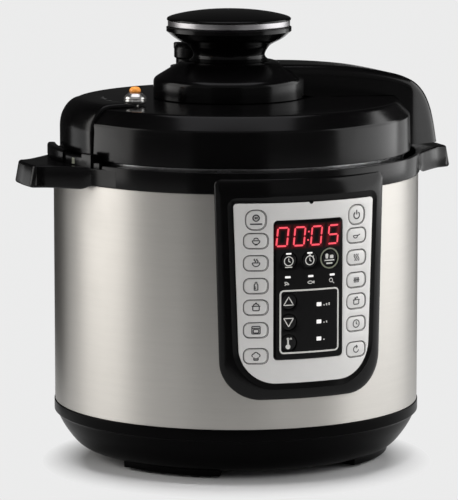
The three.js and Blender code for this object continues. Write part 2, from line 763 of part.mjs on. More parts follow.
// ---------------------------------------------------------------- power inlet
function powerInlet() {
  const [x, z] = INLET;
  const [cx, cz] = INLET_CAVITY;
  let body = block(
    -x, x, INLET_FACE - INLET_DEEP, INLET_FACE + GAP + 1, INLET_Z - z, INLET_Z + z,
  );
  body = join(body, block(
    -x - 3, x + 3, INLET_FACE + GAP, INLET_FACE + GAP + 2, INLET_Z - z - 1, INLET_Z + z + 0.6,
  ));
  const hollow = [
    [-cx, -cz], [cx, -cz], [cx, cz - 3.5], [cx - 4, cz], [-cx + 4, cz], [-cx, cz - 3.5],
  ].map(([u, v]) => [u, v + INLET_Z]);
  body = cut(body, slab(hollow, INLET_FACE - INLET_DEEP + 3, INLET_FACE + 10));
  for (const [px, pz] of INLET_PINS) {
    const hole = block(
      px - 1.3, px + 1.3, INLET_FACE - INLET_DEEP - 2, INLET_FACE - 10, pz - 2.3, pz + 2.3,
    );
    body = cut(body, hole);
  }
  return body;
}

const INLET_PINS = [[-7, INLET_Z - 1.6], [7, INLET_Z - 1.6], [0, INLET_Z + 2.4]];

function inletPin([x, z]) {
  return block(
    x - 1, x + 1, INLET_FACE - INLET_DEEP - 6, INLET_FACE - 2, z - 2, z + 2,
  );
}

// ---------------------------------------------------------------- pot and sealing cover
function innerPot() {
  const r = R_POT;
  const t = T_POT;
  const under = Z_LOCK + T_LOCK + GAP;
  return turned([
    [0, Z_POT], [r - 15, Z_POT], [r - 5, Z_POT + 3.2], [r, Z_POT + 12], [r, under],
    [R_POT_RIM, under], [R_POT_RIM, Z_POT_RIM - 0.3], [R_POT_RIM - 0.6, Z_POT_RIM],
    [r - t, Z_POT_RIM], [r - t, Z_POT + 12.5], [r - 5.9, Z_POT + 4.4], [r - 15.3, Z_POT + 1.7],
    [0, Z_POT + 1.7],
  ], N_STEEL);
}

function sealingRing() {
  const [r0, r1] = R_SEAL;
  const [z0, z1] = Z_SEAL;
  const t = T_SEAL;
  return turned([
    [r0, z0], [r1, z0], [r1, z1], [r0, z1], [r0, z1 - t], [r1 - t - 1.4, z1 - t],
    [r1 - t - 1.4, z0 + t], [r0, z0 + t],
  ], N_STEEL);
}

function sealingCover() {
  const [z0, z1] = [Z_SEAL[0] + T_SEAL + GAP, Z_SEAL[1] - T_SEAL - GAP];
  const edge = R_SEAL[1] - T_SEAL - 1.4 - GAP;
  let body = turned([
    [R_PIN + 0.8, 250], [70, 250], [R_SEAL[0] - 9.4, z0], [edge, z0], [edge, z1],
    [R_SEAL[0] - 8.4, z1], [70.8, 252], [R_PIN + 0.8, 252],
  ], N_STEEL);
  for (let i = 0; i < 6; i += 1) {
    const [x, y] = polar(45, 60 * i + 30);
    body = cut(body, rod(4, x, y, 245, 256, 8));
  }
  return body;
}

// ---------------------------------------------------------------- lid
function lidPlate() {
  const [r0, r1] = R_PRESS;
  const t = T_PRESS;
  let body = turned([
    [0, Z_PRESS_TOP - t], [60, Z_PRESS_TOP - t - 1], [R_SEAL[0] - 14, 255.4],
    [R_SEAL[0] - 7.4, Z_PRESS],
    [r0, Z_PRESS], [r0, Z_TOOTH[0]], [r1, Z_TOOTH[0]],
    [r1, Z_PRESS + 0.8], [r1 - 1.6, Z_PRESS + t], [R_SEAL[0] - 6, Z_PRESS + t],
    [R_SEAL[0] - 13, 257.4],
    [60.4, Z_PRESS_TOP - 1], [0, Z_PRESS_TOP],
  ], N_STEEL);
  for (let i = 0; i < TEETH; i += 1) {
    const angle = (360 / TEETH) * i;
    body = join(body, sector(R_TOOTH, r0 + 0.6, Z_TOOTH[0], Z_TOOTH[1], angle, A_TOOTH));
  }
  body = join(body, rod(R_PIN, 0, 0, 248, Z_PRESS_TOP - 1, N_SMALL));
  body = join(body, rod(R_PIN_HEAD, 0, 0, 246.4, 249.6, N_SMALL));
  body = cut(body, rod(R_STEM + 1, FLOAT_AT[0], FLOAT_AT[1], 240, 270, 14));
  body = cut(body, rod(5.2, VALVE_AT[0], VALVE_AT[1], 240, 270, 14));
  return body;
}

function lidOutside(grow) {
  const g = grow;
  return [
    [R_SKIRT[0] + g, Z_SKIRT[0]], [R_SKIRT[1] + g, Z_SKIRT[1] + g * 0.6],
    [R_BEVEL + g * 0.7, Z_BEVEL + g], [R_BEVEL - 2.2, Z_BEVEL + 0.9 + g],
    [R_INNER_TOP, Z_LID_TOP + g], [0, Z_LID_TOP + g],
  ];
}

function lidCover() {
  const w = WALL;
  let body = turned([
    ...lidOutside(0), [0, Z_LID_TOP - w], [R_INNER_TOP, Z_LID_TOP - w],
    [R_BEVEL - 2.6, Z_BEVEL + 0.9 - w], [R_SKIRT[1] - w, Z_SKIRT[1] - 1.2],
    [R_SKIRT[0] - w, Z_SKIRT[0]], [R_SKIRT[0], Z_SKIRT[0]],
  ].slice(0, -1).concat([[R_SKIRT[0], Z_SKIRT[0]]]));
  for (let i = 0; i < 3; i += 1) {
    const [x, y] = polar(75, 120 * i);
    body = join(body, rod(4, x, y, 263, Z_LID_TOP - 1, 12));
  }
  body = cut(body, rod(R_STEM + 1, FLOAT_AT[0], FLOAT_AT[1], 270, 300, 14));
  body = cut(body, rod(5.2, VALVE_AT[0], VALVE_AT[1], 270, 300, 14));
  return body;
}

function tableProfile(inset) {
  const i = inset;
  return [
    [0, Z_LID_TOP + GAP], [R_TABLE - i, Z_LID_TOP + GAP], [R_TABLE - i, Z_TABLE[0] - i * 0.5],
    [R_TABLE - 1.6 - i, Z_TABLE[1] - i * 0.8], [45 - i * 0.5, 308.6 - i], [37 - i * 0.4, Z_NECK - i],
    [0, Z_NECK - i],
  ];
}

function armProfile(inset) {
  const i = inset;
  const top = ARM_TOP.map(([x, z], k) => {
    const f = Math.max(0, (k - 4) / 5);
    return [x - i * Math.min(1, f * 1.05), z - i * (1 - 0.85 * f)];
  });
  const foot = i > 0 ? Z_WING - 3 : Z_WING;
  return [
    [0, 200 + (Z_LID_TOP - 200)], [0, ARM_TOP[0][1] - i], ...top, [X_WING - i, foot], [120, foot],
    [120, Z_LID_TOP - 4], [0, Z_LID_TOP - 4],
  ].slice(1);
}

function lidArm() {
  const clear = turned([[0, 200], [R_SKIRT[0] + GAP, 200], ...lidOutside(GAP)]);
  const table = turned(tableProfile(0), N_KNOB, X_KNOB, 0);
  const tableHollow = turned(
    tableProfile(WALL).map(([r, z], i) => [r, i < 2 ? z - 3 : z]), N_KNOB, X_KNOB, 0,
  );
  const arm = slab(armProfile(0), -ARM_W, ARM_W, ARM_BEVEL);
  const armHollow = slab(armProfile(ARM_WALL), -ARM_W + ARM_WALL, ARM_W - ARM_WALL);
  // the turned platform keeps its own wall where the arm meets it
  let body = cut(join(table, arm), join(tableHollow, armHollow), clear);
  // well for the steam valve
  const [vx, vy] = VALVE_AT;
  const well = rod(R_WELL + WALL, vx, vy, 300.4, 316, 20).intersect(table);
  body = join(body, well);
  body = cut(body, rod(R_WELL, vx, vy, Z_VALVE[0] - GAP - 0.6, 320, 20));
  body = cut(body, rod(5, vx, vy, 290, 310, 14));
  return body;
}

function lidBracket() {
  const clear = turned([[0, 200], [R_SKIRT[0] + GAP, 200], ...lidOutside(GAP)]);
  const side = [
    ...BRACKET_TOP.map(([x, z]) => [-x, z]), [-R_BRACKET - 6, 277], [-R_BRACKET - 6, Z_BRACKET],
    [20.4 - R_BRACKET, Z_BRACKET], [36.4 - R_BRACKET, 280],
  ];
  const wide = R_BRACKET * Math.sin(A_BRACKET * DEG);
  const rim = rod(R_BRACKET, 0, 0, Z_BRACKET, 300, N_RING);
  return cut(slab(side, -wide, wide).intersect(rim), clear);
}

// ---------------------------------------------------------------- knob
function knobBody() {
  const [z0, z1] = [Z_NECK + GAP, Z_KNOB[0]];
  const inner = NECK.map(([r, z]) => [r - T_NECK, z + T_NECK * 0.6]).reverse();
  return turned([
    [NECK[0][0] - T_NECK, z0], [NECK[0][0], z0], ...NECK, [NECK[4][0], z1],
    [R_BAND[0] - GAP, z1], [R_BAND[0] - GAP, z1 + 4.5], [R_BAND[0] - GAP - WALL, z1 + 4.5],
    [R_BAND[0] - GAP - WALL, z1 - 1.2], ...inner.slice(1),
  ], N_KNOB, X_KNOB, 0);
}

function knobBand() {
  const [r0, r1] = R_BAND;
  const [z0, z1] = [Z_KNOB[0] + GAP, Z_KNOB[1]];
  return turned([
    [r0, z0], [r1 - 0.5, z0], [r1, z0 + 0.6], [r1, z1 - 0.6], [r1 - 0.5, z1], [r0, z1],
  ], N_KNOB, X_KNOB, 0);
}

function knobCap() {
  const z = Z_KNOB[1] + GAP;
  const plug = R_BAND[0] - 2 * GAP - WALL;
  return turned([
    [0, z - 1.8], [plug - 2, z - 1.8], [plug - 2, z - 6.5], [plug, z - 6.5], [plug, z],
    [R_BAND[1] + 0.2, z], [R_BAND[1] - 0.3, z + 1.2], [44.5, z + 3], [34, z + 5.4],
    [18, z + 7], [0, Z_KNOB[2]],
  ], N_KNOB, X_KNOB, 0);
}

// ---------------------------------------------------------------- valves
function steamValve() {
  const [x, y] = VALVE_AT;
  const [z0, z1, z2] = Z_VALVE;
  const head = turned([
    [0, 288], [3.8, 288], [3.8, z0], [R_VALVE - 1.5, z0], [R_VALVE - 1.5, z0 + 8],
    [R_VALVE, z0 + 9], [R_VALVE, z1 - 2], [R_VALVE - 2.5, z1 + 1], [8, z2], [0, z2],
  ], 20, x, y);
  const away = Math.atan2(y, x - X_KNOB);
  const lever = block(0, VALVE_LEVER, -3.2, 3.2, z1 - 6.5, z1 - 1)
    .rotate([0, 0, away / DEG]).translate([x, y, 0]);
  return join(head, lever);
}

function floatValve() {
  const [x, y] = FLOAT_AT;
  const seat = Z_LID_TOP + 0.1;
  return turned([
    [0, 255], [R_STEM, 255], [R_STEM, seat], [R_FLOAT - 0.6, seat], [R_FLOAT, seat + 1.2],
    [R_FLOAT, seat + 4.2], [R_FLOAT - 1.6, seat + 4.6], [R_FLOAT - 1.6, seat + 5.4],
    [R_FLOAT - 0.6, seat + 5.8], [R_FLOAT - 0.9, seat + 8], [4.6, seat + 8.8], [0, seat + 8.8],
  ], 16, x, y);
}

function floatCap() {
  const [x, y] = FLOAT_AT;
  const z = Z_LID_TOP + 0.1 + 8.8 + GAP;
  return turned([
    [0, z], [4, z], [4, z + 2.6], [2.8, z + 4.2], [0, z + 4.6],
  ], N_SMALL, x, y);
}

// ---------------------------------------------------------------- assembly
export default group;

piece('base_housing', baseHousing(), LOOK.plastic);
piece('bottom_cover', bottomCover(), LOOK.plastic);
FOOT_ANGLES.forEach((angle, i) => piece(`foot_${i + 1}`, foot(angle), LOOK.rubber));
piece('outer_shell', outerShell(), LOOK.steel);
piece('collar', collar(), LOOK.plastic);
piece('inner_housing', innerHousing(), LOOK.pressed);
piece('locking_ring', lockingRing(), LOOK.pressed);
piece('heating_plate', heatingPlate(), LOOK.aluminium);
piece('heating_element', heatingElement(), LOOK.pressed);
piece('spring_bar', springBar(), LOOK.pressed);
piece('sensor_spring', sensorSpring(), LOOK.pressed);
piece('sensor_button', sensorButton(), LOOK.aluminium);
piece('pressure_switch', pressureSwitch(), LOOK.smoke);
piece('power_board', powerBoard(), LOOK.board);
piece('control_board', controlBoard(), LOOK.board);
piece('display_module', displayModule(), LOOK.smoke);
piece('panel_frame', panelFrame(), LOOK.plastic);
piece('panel_overlay', panelOverlay(), LOOK.overlay);
piece('display_window', displayWindow(), LOOK.window);
for (const key of OUTER_KEYS) {
  piece(key.name, curved(keyOutline(key, 0), KEY_BACK, R_KEY), LOOK.key);
}
for (const key of INNER_KEYS) {
  piece(key.name, curved(keyOutline(key, 0), KEY_BACK, R_KEY), LOOK.dark_key);
}
piece('power_inlet', powerInlet(), LOOK.smoke);
INLET_PINS.forEach((at, i) => piece(`inlet_pin_${i + 1}`, inletPin(at), LOOK.brass));
piece('drip_cup', dripCup(), LOOK.smoke);
piece('inner_pot', innerPot(), LOOK.coating);
piece('sealing_cover', sealingCover(), LOOK.aluminium);
piece('sealing_ring', sealingRing(), LOOK.silicone);
piece('lid_plate', lidPlate(), LOOK.pressed);
piece('lid_cover', lidCover(), LOOK.plastic);
piece('lid_arm', lidArm(), LOOK.plastic);
piece('lid_bracket', lidBracket(), LOOK.plastic);
piece('knob_body', knobBody(), LOOK.plastic);
piece('knob_band', knobBand(), LOOK.chrome);
piece('knob_cap', knobCap(), LOOK.plastic);
piece('steam_valve', steamValve(), LOOK.plastic);
piece('float_valve', floatValve(), LOOK.pressed);
piece('float_cap', floatCap(), LOOK.orange);
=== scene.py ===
"""Electric pressure cooker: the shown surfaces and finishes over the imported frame."""
import json
import math

import bpy
import bmesh
import numpy as np
from bpy.props import BoolProperty, FloatProperty, FloatVectorProperty, IntProperty, PointerProperty
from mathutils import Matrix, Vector
from mathutils.geometry import delaunay_2d_cdt


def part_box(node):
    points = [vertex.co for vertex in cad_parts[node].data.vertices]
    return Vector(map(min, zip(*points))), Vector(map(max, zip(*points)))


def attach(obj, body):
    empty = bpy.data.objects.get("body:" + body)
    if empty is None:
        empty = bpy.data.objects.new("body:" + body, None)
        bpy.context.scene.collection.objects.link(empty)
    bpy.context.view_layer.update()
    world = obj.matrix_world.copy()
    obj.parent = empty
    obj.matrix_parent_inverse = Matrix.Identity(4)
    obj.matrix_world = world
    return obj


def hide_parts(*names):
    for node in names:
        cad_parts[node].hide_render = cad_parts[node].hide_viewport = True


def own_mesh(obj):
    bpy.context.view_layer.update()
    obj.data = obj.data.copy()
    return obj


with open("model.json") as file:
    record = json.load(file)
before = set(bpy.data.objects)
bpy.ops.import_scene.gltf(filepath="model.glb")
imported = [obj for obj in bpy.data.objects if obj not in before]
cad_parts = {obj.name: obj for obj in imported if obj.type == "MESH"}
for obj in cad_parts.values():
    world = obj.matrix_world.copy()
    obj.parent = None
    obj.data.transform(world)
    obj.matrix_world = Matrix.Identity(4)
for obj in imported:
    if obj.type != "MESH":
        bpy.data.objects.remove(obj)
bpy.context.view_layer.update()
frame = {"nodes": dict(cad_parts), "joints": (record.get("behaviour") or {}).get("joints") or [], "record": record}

bl_info = {
    "name": "Pressure cooker",
    "version": (1, 0, 0),
    "blender": (4, 5, 0),
    "location": "View3D > Sidebar > Cooker",
    "description": "Builds the surfaces, finishes and studio of an electric pressure cooker",
    "category": "Object",
}

MM = 0.001
SHARP = math.radians(38)     # edges that turn further than this are shaded as edges
SUNK = 0.06                  # how deep a printed mark's lower side lies under its face
QUARTER = np.radians(np.linspace(0, 90, 5))


# ------------------------------------------------------------------ places read from the frame
def box_mm(node):
    """Lowest and highest corner of a CAD node, in millimetres."""
    low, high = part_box(node)
    return np.array(low) / MM, np.array(high) / MM


def middle(node):
    """The x and y of a CAD node's middle."""
    low, high = box_mm(node)
    return (low + high)[:2] / 2


def reach(node):
    """Half of a round CAD node's width across x."""
    low, high = box_mm(node)
    return float(high[0] - low[0]) / 2


def levels(node):
    """The lowest and the highest z of a CAD node."""
    low, high = box_mm(node)
    return float(low[2]), float(high[2])


AXIS = middle("outer_shell")          # the upright axis of the steel body
KNOB_AXIS = middle("knob_band")       # the knob stands a little off it
R_BODY = reach("outer_shell")
R_LIP = 145.6                         # the lips of base and collar, over and under the sleeve
R_BORE = 142.9                        # the collar's bore, where the lid stands
R_INNER = R_BODY - 1.1                # the skirts that stand inside the sleeve
R_SEAT = 146.6                        # the floor under the panel's face


# ------------------------------------------------------------------ curves
def fillet(points, back, steps=5, closed=False):
    """Round a chain's corners.

    Each corner is swapped for the parabola that starts `back` before it on one side and ends
    `back` after it on the other, with the corner as its control point. No side gives away more
    than half of its length. `back` is one length or one for each corner.
    """
    p = np.asarray(points, float)
    before, after = np.roll(p, 1, 0) - p, np.roll(p, -1, 0) - p
    d = np.broadcast_to(np.asarray(back, float), (len(p),)).copy()
    if not closed:
        d[0] = d[-1] = 0
    a, b = (p + way * (np.minimum(d, length * 0.5) / np.maximum(length, 1e-9))[:, None]
            for way, length in ((w, np.linalg.norm(w, axis=1)) for w in (before, after)))
    t = np.linspace(0, 1, steps)[None, :, None]
    rounded = (1 - t) ** 2 * a[:, None] + 2 * t * (1 - t) * p[:, None] + t ** 2 * b[:, None]
    chain = rounded.reshape(-1, p.shape[1])
    keep = np.ones(len(chain), bool)
    keep[1:] = np.linalg.norm(np.diff(chain, axis=0), axis=1) > 1e-5
    return chain[keep]


def spline(points, per=8):
    """Smooth curve through every point, by Catmull and Rom's cubic.

    Between points 1 and 2 of each run of four the curve is the cubic whose slopes at the ends
    are half the chord between their neighbours.
    """
    p = np.asarray(points, float)
    q = np.vstack([2 * p[0] - p[1], p, 2 * p[-1] - p[-2]])
    a, b, c, d = q[:-3, None], q[1:-2, None], q[2:-1, None], q[3:, None]
    t = np.linspace(0, 1, per, endpoint=False)[None, :, None]
    curve = 0.5 * (2 * b + (c - a) * t + (2 * a - 5 * b + 4 * c - d) * t ** 2
                   + (3 * b - a - 3 * c + d) * t ** 3)
    return np.vstack([curve.reshape(-1, p.shape[1]), p[-1:]])


def spaced(points, count, closed=False):
    """`count` points at equal arc lengths along a chain, by straight interpolation."""
    p = np.asarray(points, float)
    if closed:
        p = np.vstack([p, p[:1]])
    run = np.concatenate([[0], np.cumsum(np.linalg.norm(np.diff(p, axis=0), axis=1))])
    at = np.linspace(0, run[-1], count, endpoint=not closed)
    return np.stack([np.interp(at, run, p[:, k]) for k in range(p.shape[1])], -1)


def divided(path, closed=False, longest=2.5):
    """A chain whose long sides are split evenly until none is longer than `longest`."""
    p = np.asarray(path, float)
    out = []
    for a, b in zip(p, np.roll(p, -1, 0) if closed else p[1:]):
        n = max(1, math.ceil(np.linalg.norm(b - a) / longest))
        out.append(a + (b - a) * np.linspace(0, 1, n, endpoint=False)[:, None])
    return np.vstack(out + ([] if closed else [p[-1:]]))


def rounded_rect(half_top, half_low, z0, z1, r_top, r_low, steps=12, span=0):
    """Closed outline of an upright rectangle, wider or narrower at its foot, with round corners.

    The corners are quarter circles of radius r_top and r_low, and the sides are straight. `span`
    more points divide the top and the bottom side, so that they can be bent.
    """
    turn = np.radians(np.linspace(0, 90, steps))
    c, s = np.cos(turn), np.sin(turn)
    across = np.linspace(1, -1, span + 2)[1:-1]
    return np.concatenate([
        np.stack([half_top - r_top + r_top * c, z1 - r_top + r_top * s], -1),
        np.stack([across * (half_top - r_top), np.full(span, float(z1))], -1),
        np.stack([-half_top + r_top - r_top * s, z1 - r_top + r_top * c], -1),
        np.stack([-half_low + r_low - r_low * c, z0 + r_low - r_low * s], -1),
        np.stack([-across * (half_low - r_low), np.full(span, float(z0))], -1),
        np.stack([half_low - r_low + r_low * s, z0 + r_low - r_low * c], -1),
    ])


def pill(half, z0, z1, corner, steps=4, x=0.0):
    """A small rectangle with round corners round an x."""
    return rounded_rect(half, half, z0, z1, corner, corner, steps) + (x, 0)


def arc(radius, first, last, count=24, centre=(0, 0)):
    """Part of a circle; angles in degrees from the right, turning upwards."""
    a = np.radians(np.linspace(first, last, count))
    return np.stack([np.cos(a) * radius + centre[0], np.sin(a) * radius + centre[1]], -1)


def circle(radius, count=48, centre=(0, 0)):
    """Closed circle of `count` points round a centre."""
    return arc(radius, 0, 360, count + 1, centre)[:-1]


def grown(outline, by):
    """A closed outline moved outwards: each point goes `by` along the mean normal of its sides."""
    p = np.asarray(outline, float)
    side = np.roll(p, -1, 0) - np.roll(p, 1, 0)
    side /= np.maximum(np.linalg.norm(side, axis=1), 1e-9)[:, None]
    return p + np.stack([side[:, 1], -side[:, 0]], -1) * by


def filled(rings, shares):
    """Rings of (outline, value), with copies inside the first and the last that close the ends.

    A copy is drawn to a share of its ring's size about the middle of its box, and its value, one
    number or one for each point, to the same share about its mean.
    """
    def inside(outline, value):
        centre, mean = (outline.max(0) + outline.min(0)) / 2, np.mean(value)
        return [(centre + (outline - centre) * f, mean + (value - mean) * f) for f in shares]
    return inside(*rings[0]) + rings + inside(*rings[-1])[::-1]


# ------------------------------------------------------------------ surfaces
def grid(points, wrap_u=False, wrap_v=False, cap_u=False):
    """A surface over a grid of points, as (corners, faces).

    Faces join each cell's four corners. wrap_u and wrap_v join the last row or column to the
    first; cap_u closes the first and the last row with one many-sided face each.
    """
    p = np.asarray(points, float)
    index = np.arange(p.shape[0] * p.shape[1]).reshape(p.shape[:2])
    rows = np.vstack([index, index[:1]]) if wrap_u else index
    rows = np.hstack([rows, rows[:, :1]]) if wrap_v else rows
    quads = np.stack([rows[:-1, :-1], rows[1:, :-1], rows[1:, 1:], rows[:-1, 1:]], -1)
    faces = quads.reshape(-1, 4).tolist()
    if cap_u:
        faces += [index[0, ::-1].tolist(), index[-1].tolist()]
    return p.reshape(-1, 3), faces


def revolve(profile, about=None, count=192, start=0.0, sweep=360.0):
    """Surface of revolution about an upright axis, with closed end faces on a part turn.

    The point (r, z) of the profile at angle a stands at (axis + r sin a, axis - r cos a, z), so
    a runs from the front towards +x. The profile is a closed chain unless it starts and ends on
    the axis.
    """
    about = AXIS if about is None else about
    p = np.asarray(profile, float)
    full = sweep >= 360
    a = np.radians(start + np.linspace(0, sweep, count, endpoint=not full))
    x = about[0] + np.sin(a)[:, None] * p[None, :, 0]
    y = about[1] - np.cos(a)[:, None] * p[None, :, 0]
    z = np.broadcast_to(p[None, :, 1], x.shape)
    poles = p[0, 0] < 1e-6 and p[-1, 0] < 1e-6
    return grid(np.stack([x, y, z], -1), wrap_u=full, wrap_v=not poles, cap_u=not full)


def lathe(profile, back=None, steps=5, about=None, count=None):
    """A body turned from a profile with rounded corners, closed unless it ends on the axis."""
    back = sizes().edge / MM if back is None else back
    closed = not (profile[0][0] < 1e-6 and profile[-1][0] < 1e-6)
    return revolve(fillet(profile, back, steps, closed), about, count or sizes().facets)


def ring(r0, r1, z0, z1, back, steps=4, count=48, start=0.0, sweep=360.0):
    """A box section with rounded corners, turned round the body's axis or a part of the way."""
    section = fillet([(r0, z0), (r1, z0), (r1, z1), (r0, z1)], back, steps, True)
    return revolve(section, None, count, start, sweep)


def ring_teeth(r0, r1, z0, z1, first=0.0, edge=0.5):
    """Six bayonet teeth, spaced evenly round the axis."""
    return [ring(r0, r1, z0, z1, edge, 4, 16, first + 60 * k - 12, 24) for k in range(6)]


def stacked(rings):
    """A flat-lying solid from rings of (outline, height), lowest first, closed at both ends.

    A ring's height is one number or one for each of its points.
    """
    chain = filled(rings, (0.0, 0.3, 0.6, 0.85))
    return grid([np.column_stack([o, np.full(len(o), h)]) for o, h in chain], wrap_v=True)


def edged(outline, z0, z1, edge):
    """An upright-walled solid whose upper and lower edges are rounded over `edge`."""
    low = [(grown(outline, -edge * (1 - math.sin(t))), z0 + edge * (1 - math.cos(t)))
           for t in QUARTER]
    high = [(grown(outline, -edge * (1 - math.cos(t))), z1 - edge * (1 - math.sin(t)))
            for t in QUARTER]
    return stacked(low + high)


def bowl_surface(outer, inner, niche_half, niche_z, niche_y, wall):
    """Round bowl with a square niche pressed into its rear.

    The bowl is a profile turned round the axis. Columns are shared out so that one pair runs at
    x = plus and minus the niche's half width at every height, and they and the rows at its floor
    and roof are doubled. Points inside the doubled lines move to the niche's rear plane, and
    the inner skin does the same one wall further in, so the niche has true corners.
    """
    def doubled(chain, z_low, z_high):
        rows, flags = [], []
        for a, b in zip(chain, [*chain[1:], None]):
            rows.append(a)
            flags.append(z_low < a[1] < z_high)
            if b is None:
                break
            crossed = [z for z in (z_low, z_high) if (a[1] - z) * (b[1] - z) < 0]
            for z in sorted(crossed, reverse=bool(b[1] < a[1])):
                at = a + (b - a) * (z - a[1]) / (b[1] - a[1])
                entering = flags[-1]
                rows += [at, at]
                flags += [entering, not entering]
        return np.array(rows), np.array(flags)

    z0, z1 = niche_z
    skins = [doubled(outer, z0, z1), doubled(inner, z0 - wall, z1 + wall)]
    rows = np.vstack([s[0] for s in skins])
    pressed = np.concatenate([s[1] for s in skins])
    skin = np.repeat([0, 1], [len(s[0]) for s in skins])
    half, rear = niche_half + wall * skin, niche_y - wall * skin
    share, side = 0.06, 120      # share of the columns in the niche, columns on each side of it
    flank = np.linspace(share, 1, side)
    c = np.concatenate([-flank[::-1], np.linspace(-share, share, 13), flank])[None, :]
    at_niche = np.zeros(c.shape, bool)
    at_niche[0, side:side + 13] = True
    alpha = np.arcsin(np.minimum(half / np.maximum(rows[:, 0], 1), 0.9))[:, None]
    near = np.abs(c) / share * alpha
    far = alpha + (np.abs(c) - share) / (1 - share) * (np.pi - alpha)
    angle = np.where(np.abs(c) <= share, near, far) * np.sign(c)
    x, y = np.sin(angle) * rows[:, :1], np.cos(angle) * rows[:, :1]
    y = np.where(pressed[:, None] & at_niche, rear[:, None], y)
    z = np.broadcast_to(rows[:, 1:2], x.shape)
    return grid(np.stack([x + AXIS[0], y + AXIS[1], z], -1), wrap_u=True)


def saddle(top, low, half_width, edge, side=1, round_top=False, draw=0.0):
    """A bar that follows the lid from its middle to its rim, as a loft of cross-sections.

    top and low are matching curves of (distance from the axis, height). Section s spans from
    low(s) to top(s) and from -half_width to half_width, with its two upper edges rounded over
    `edge`. Points of the low curve lie on circles round the axis, so the bar hugs the lid;
    with round_top the top curve's points do too. side is +1 for +x and -1 for -x. Beyond the
    lid's rim the bar narrows, softly at first and then evenly, by the share `draw` in all.
    """
    turn = np.radians(np.linspace(0, 90, 7))
    rise, one = np.linspace(0, 1, 7, endpoint=False), np.ones(7)
    flat = np.linspace(-1, 1, 13)[1:-1]
    # each section point: k + m * edge / height tells its share of the way up
    k = np.concatenate([rise, one, np.ones(11), one, rise[::-1]])
    m = np.concatenate([-rise, np.sin(turn) - 1, np.zeros(11), np.sin(turn[::-1]) - 1,
                        -rise[::-1]])
    corner = half_width - edge * (1 - np.cos(turn))
    across = np.concatenate([-half_width * one, -corner, flat * (half_width - edge),
                             corner[::-1], half_width * one])
    height = np.linalg.norm(top - low, axis=1)[:, None]
    share = k[None, :] + m[None, :] * np.minimum(edge / height, 0.9)
    y = np.broadcast_to(across, share.shape)
    low_x = np.sqrt(np.maximum(low[:, :1] ** 2 - y ** 2, 1.0))
    top_x = np.sqrt(np.maximum(top[:, :1] ** 2 - y ** 2, 1.0)) if round_top else top[:, :1]
    x = low_x + (top_x - low_x) * share
    z = low[:, 1:] + (top[:, 1:] - low[:, 1:]) * share
    rim, end = low[:, 0].max() + 2, top[:, 0].max()
    t = np.clip((x - rim) / (end - rim), 0, 1)
    y = y * (1 - draw * 1.1 * t ** 2 / (t + 0.1))
    return grid(np.stack([side * x + AXIS[0], side * y + AXIS[1], z], -1),
                wrap_v=True, cap_u=True)


def helix(centre, reach, z0, z1, wire, turns):
    """A coil spring: a round wire of radius `wire` carried along a helix with closed end turns.

    The middle line is a circle of radius reach - wire whose height rises from end to end, level
    over the first and the last half turn. The section lies between the outward and the upright
    direction.
    """
    t = np.linspace(0, 1, 48 * turns + 1)
    rise = np.clip((t * turns - 0.5) / (turns - 1), 0, 1)
    a, b = 2 * np.pi * turns * t[:, None], np.linspace(0, 2 * np.pi, 12, endpoint=False)[None, :]
    r = reach - wire + wire * np.cos(b)
    z = z0 + wire + (z1 - z0 - 2 * wire) * rise[:, None] + wire * np.sin(b)
    return grid(np.stack([centre[0] + r * np.cos(a), centre[1] + r * np.sin(a), z], -1),
                wrap_v=True, cap_u=True)


def joined(surfaces):
    """Several surfaces as one list of corners and one of faces."""
    corners, faces, first = [], [], 0
    for c, f in surfaces:
        corners.append(c)
        faces += [[i + first for i in face] for face in f]
        first += len(c)
    return np.vstack(corners), faces


def linked(name, data):
    """A new object in the scene."""
    made = bpy.data.objects.new(name, data)
    bpy.context.scene.collection.objects.link(made)
    return made


def mesh_of(name, surface, unit=1.0):
    """A mesh of a surface whose corners are given in a unit."""
    mesh = bpy.data.meshes.new(name)
    mesh.from_pydata((surface[0] * unit).tolist(), [], surface[1])
    return mesh


def build(name, parts, body, replaces=None, slot=None):
    """Make one piece and hand it to the frame.

    parts is a list of surfaces in millimetres, which take the slot's finish, or a table from
    finish to list. Corners closer than 0.002 mm are merged, which closes seams and poles, faces
    without area are dropped, and the faces of each closed shell are turned to point outwards.
    """
    parts = parts if isinstance(parts, dict) else {slot: parts}
    mesh = mesh_of(name, joined([s for group in parts.values() for s in group]), MM)
    slots = []
    for number, (look, group) in enumerate(parts.items()):
        mesh.materials.append(finish(look))
        slots += [number] * sum(len(faces) for _, faces in group)
    mesh.polygons.foreach_set("material_index", slots)
    work = bmesh.new()
    work.from_mesh(mesh)
    bmesh.ops.remove_doubles(work, verts=work.verts, dist=2e-6)
    bmesh.ops.dissolve_degenerate(work, edges=work.edges, dist=1e-7)
    bmesh.ops.recalc_face_normals(work, faces=work.faces)
    work.to_mesh(mesh)
    work.free()
    mesh.shade_smooth()
    mesh.set_sharp_from_angle(angle=SHARP)
    mesh.validate()
    piece = linked(name, mesh)
    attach(piece, body)
    if replaces:
        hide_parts(replaces)
    return piece


# ------------------------------------------------------------------ finishes
def math_node(operation, reflected=False):
    """A method of Signal that adds one Math node; reflected puts the other value first."""
    def method(self, other=None):
        values = [self] if other is None else [other, self] if reflected else [self, other]
        return self.owner.node("ShaderNodeMath", {"operation": operation}, values)
    return method


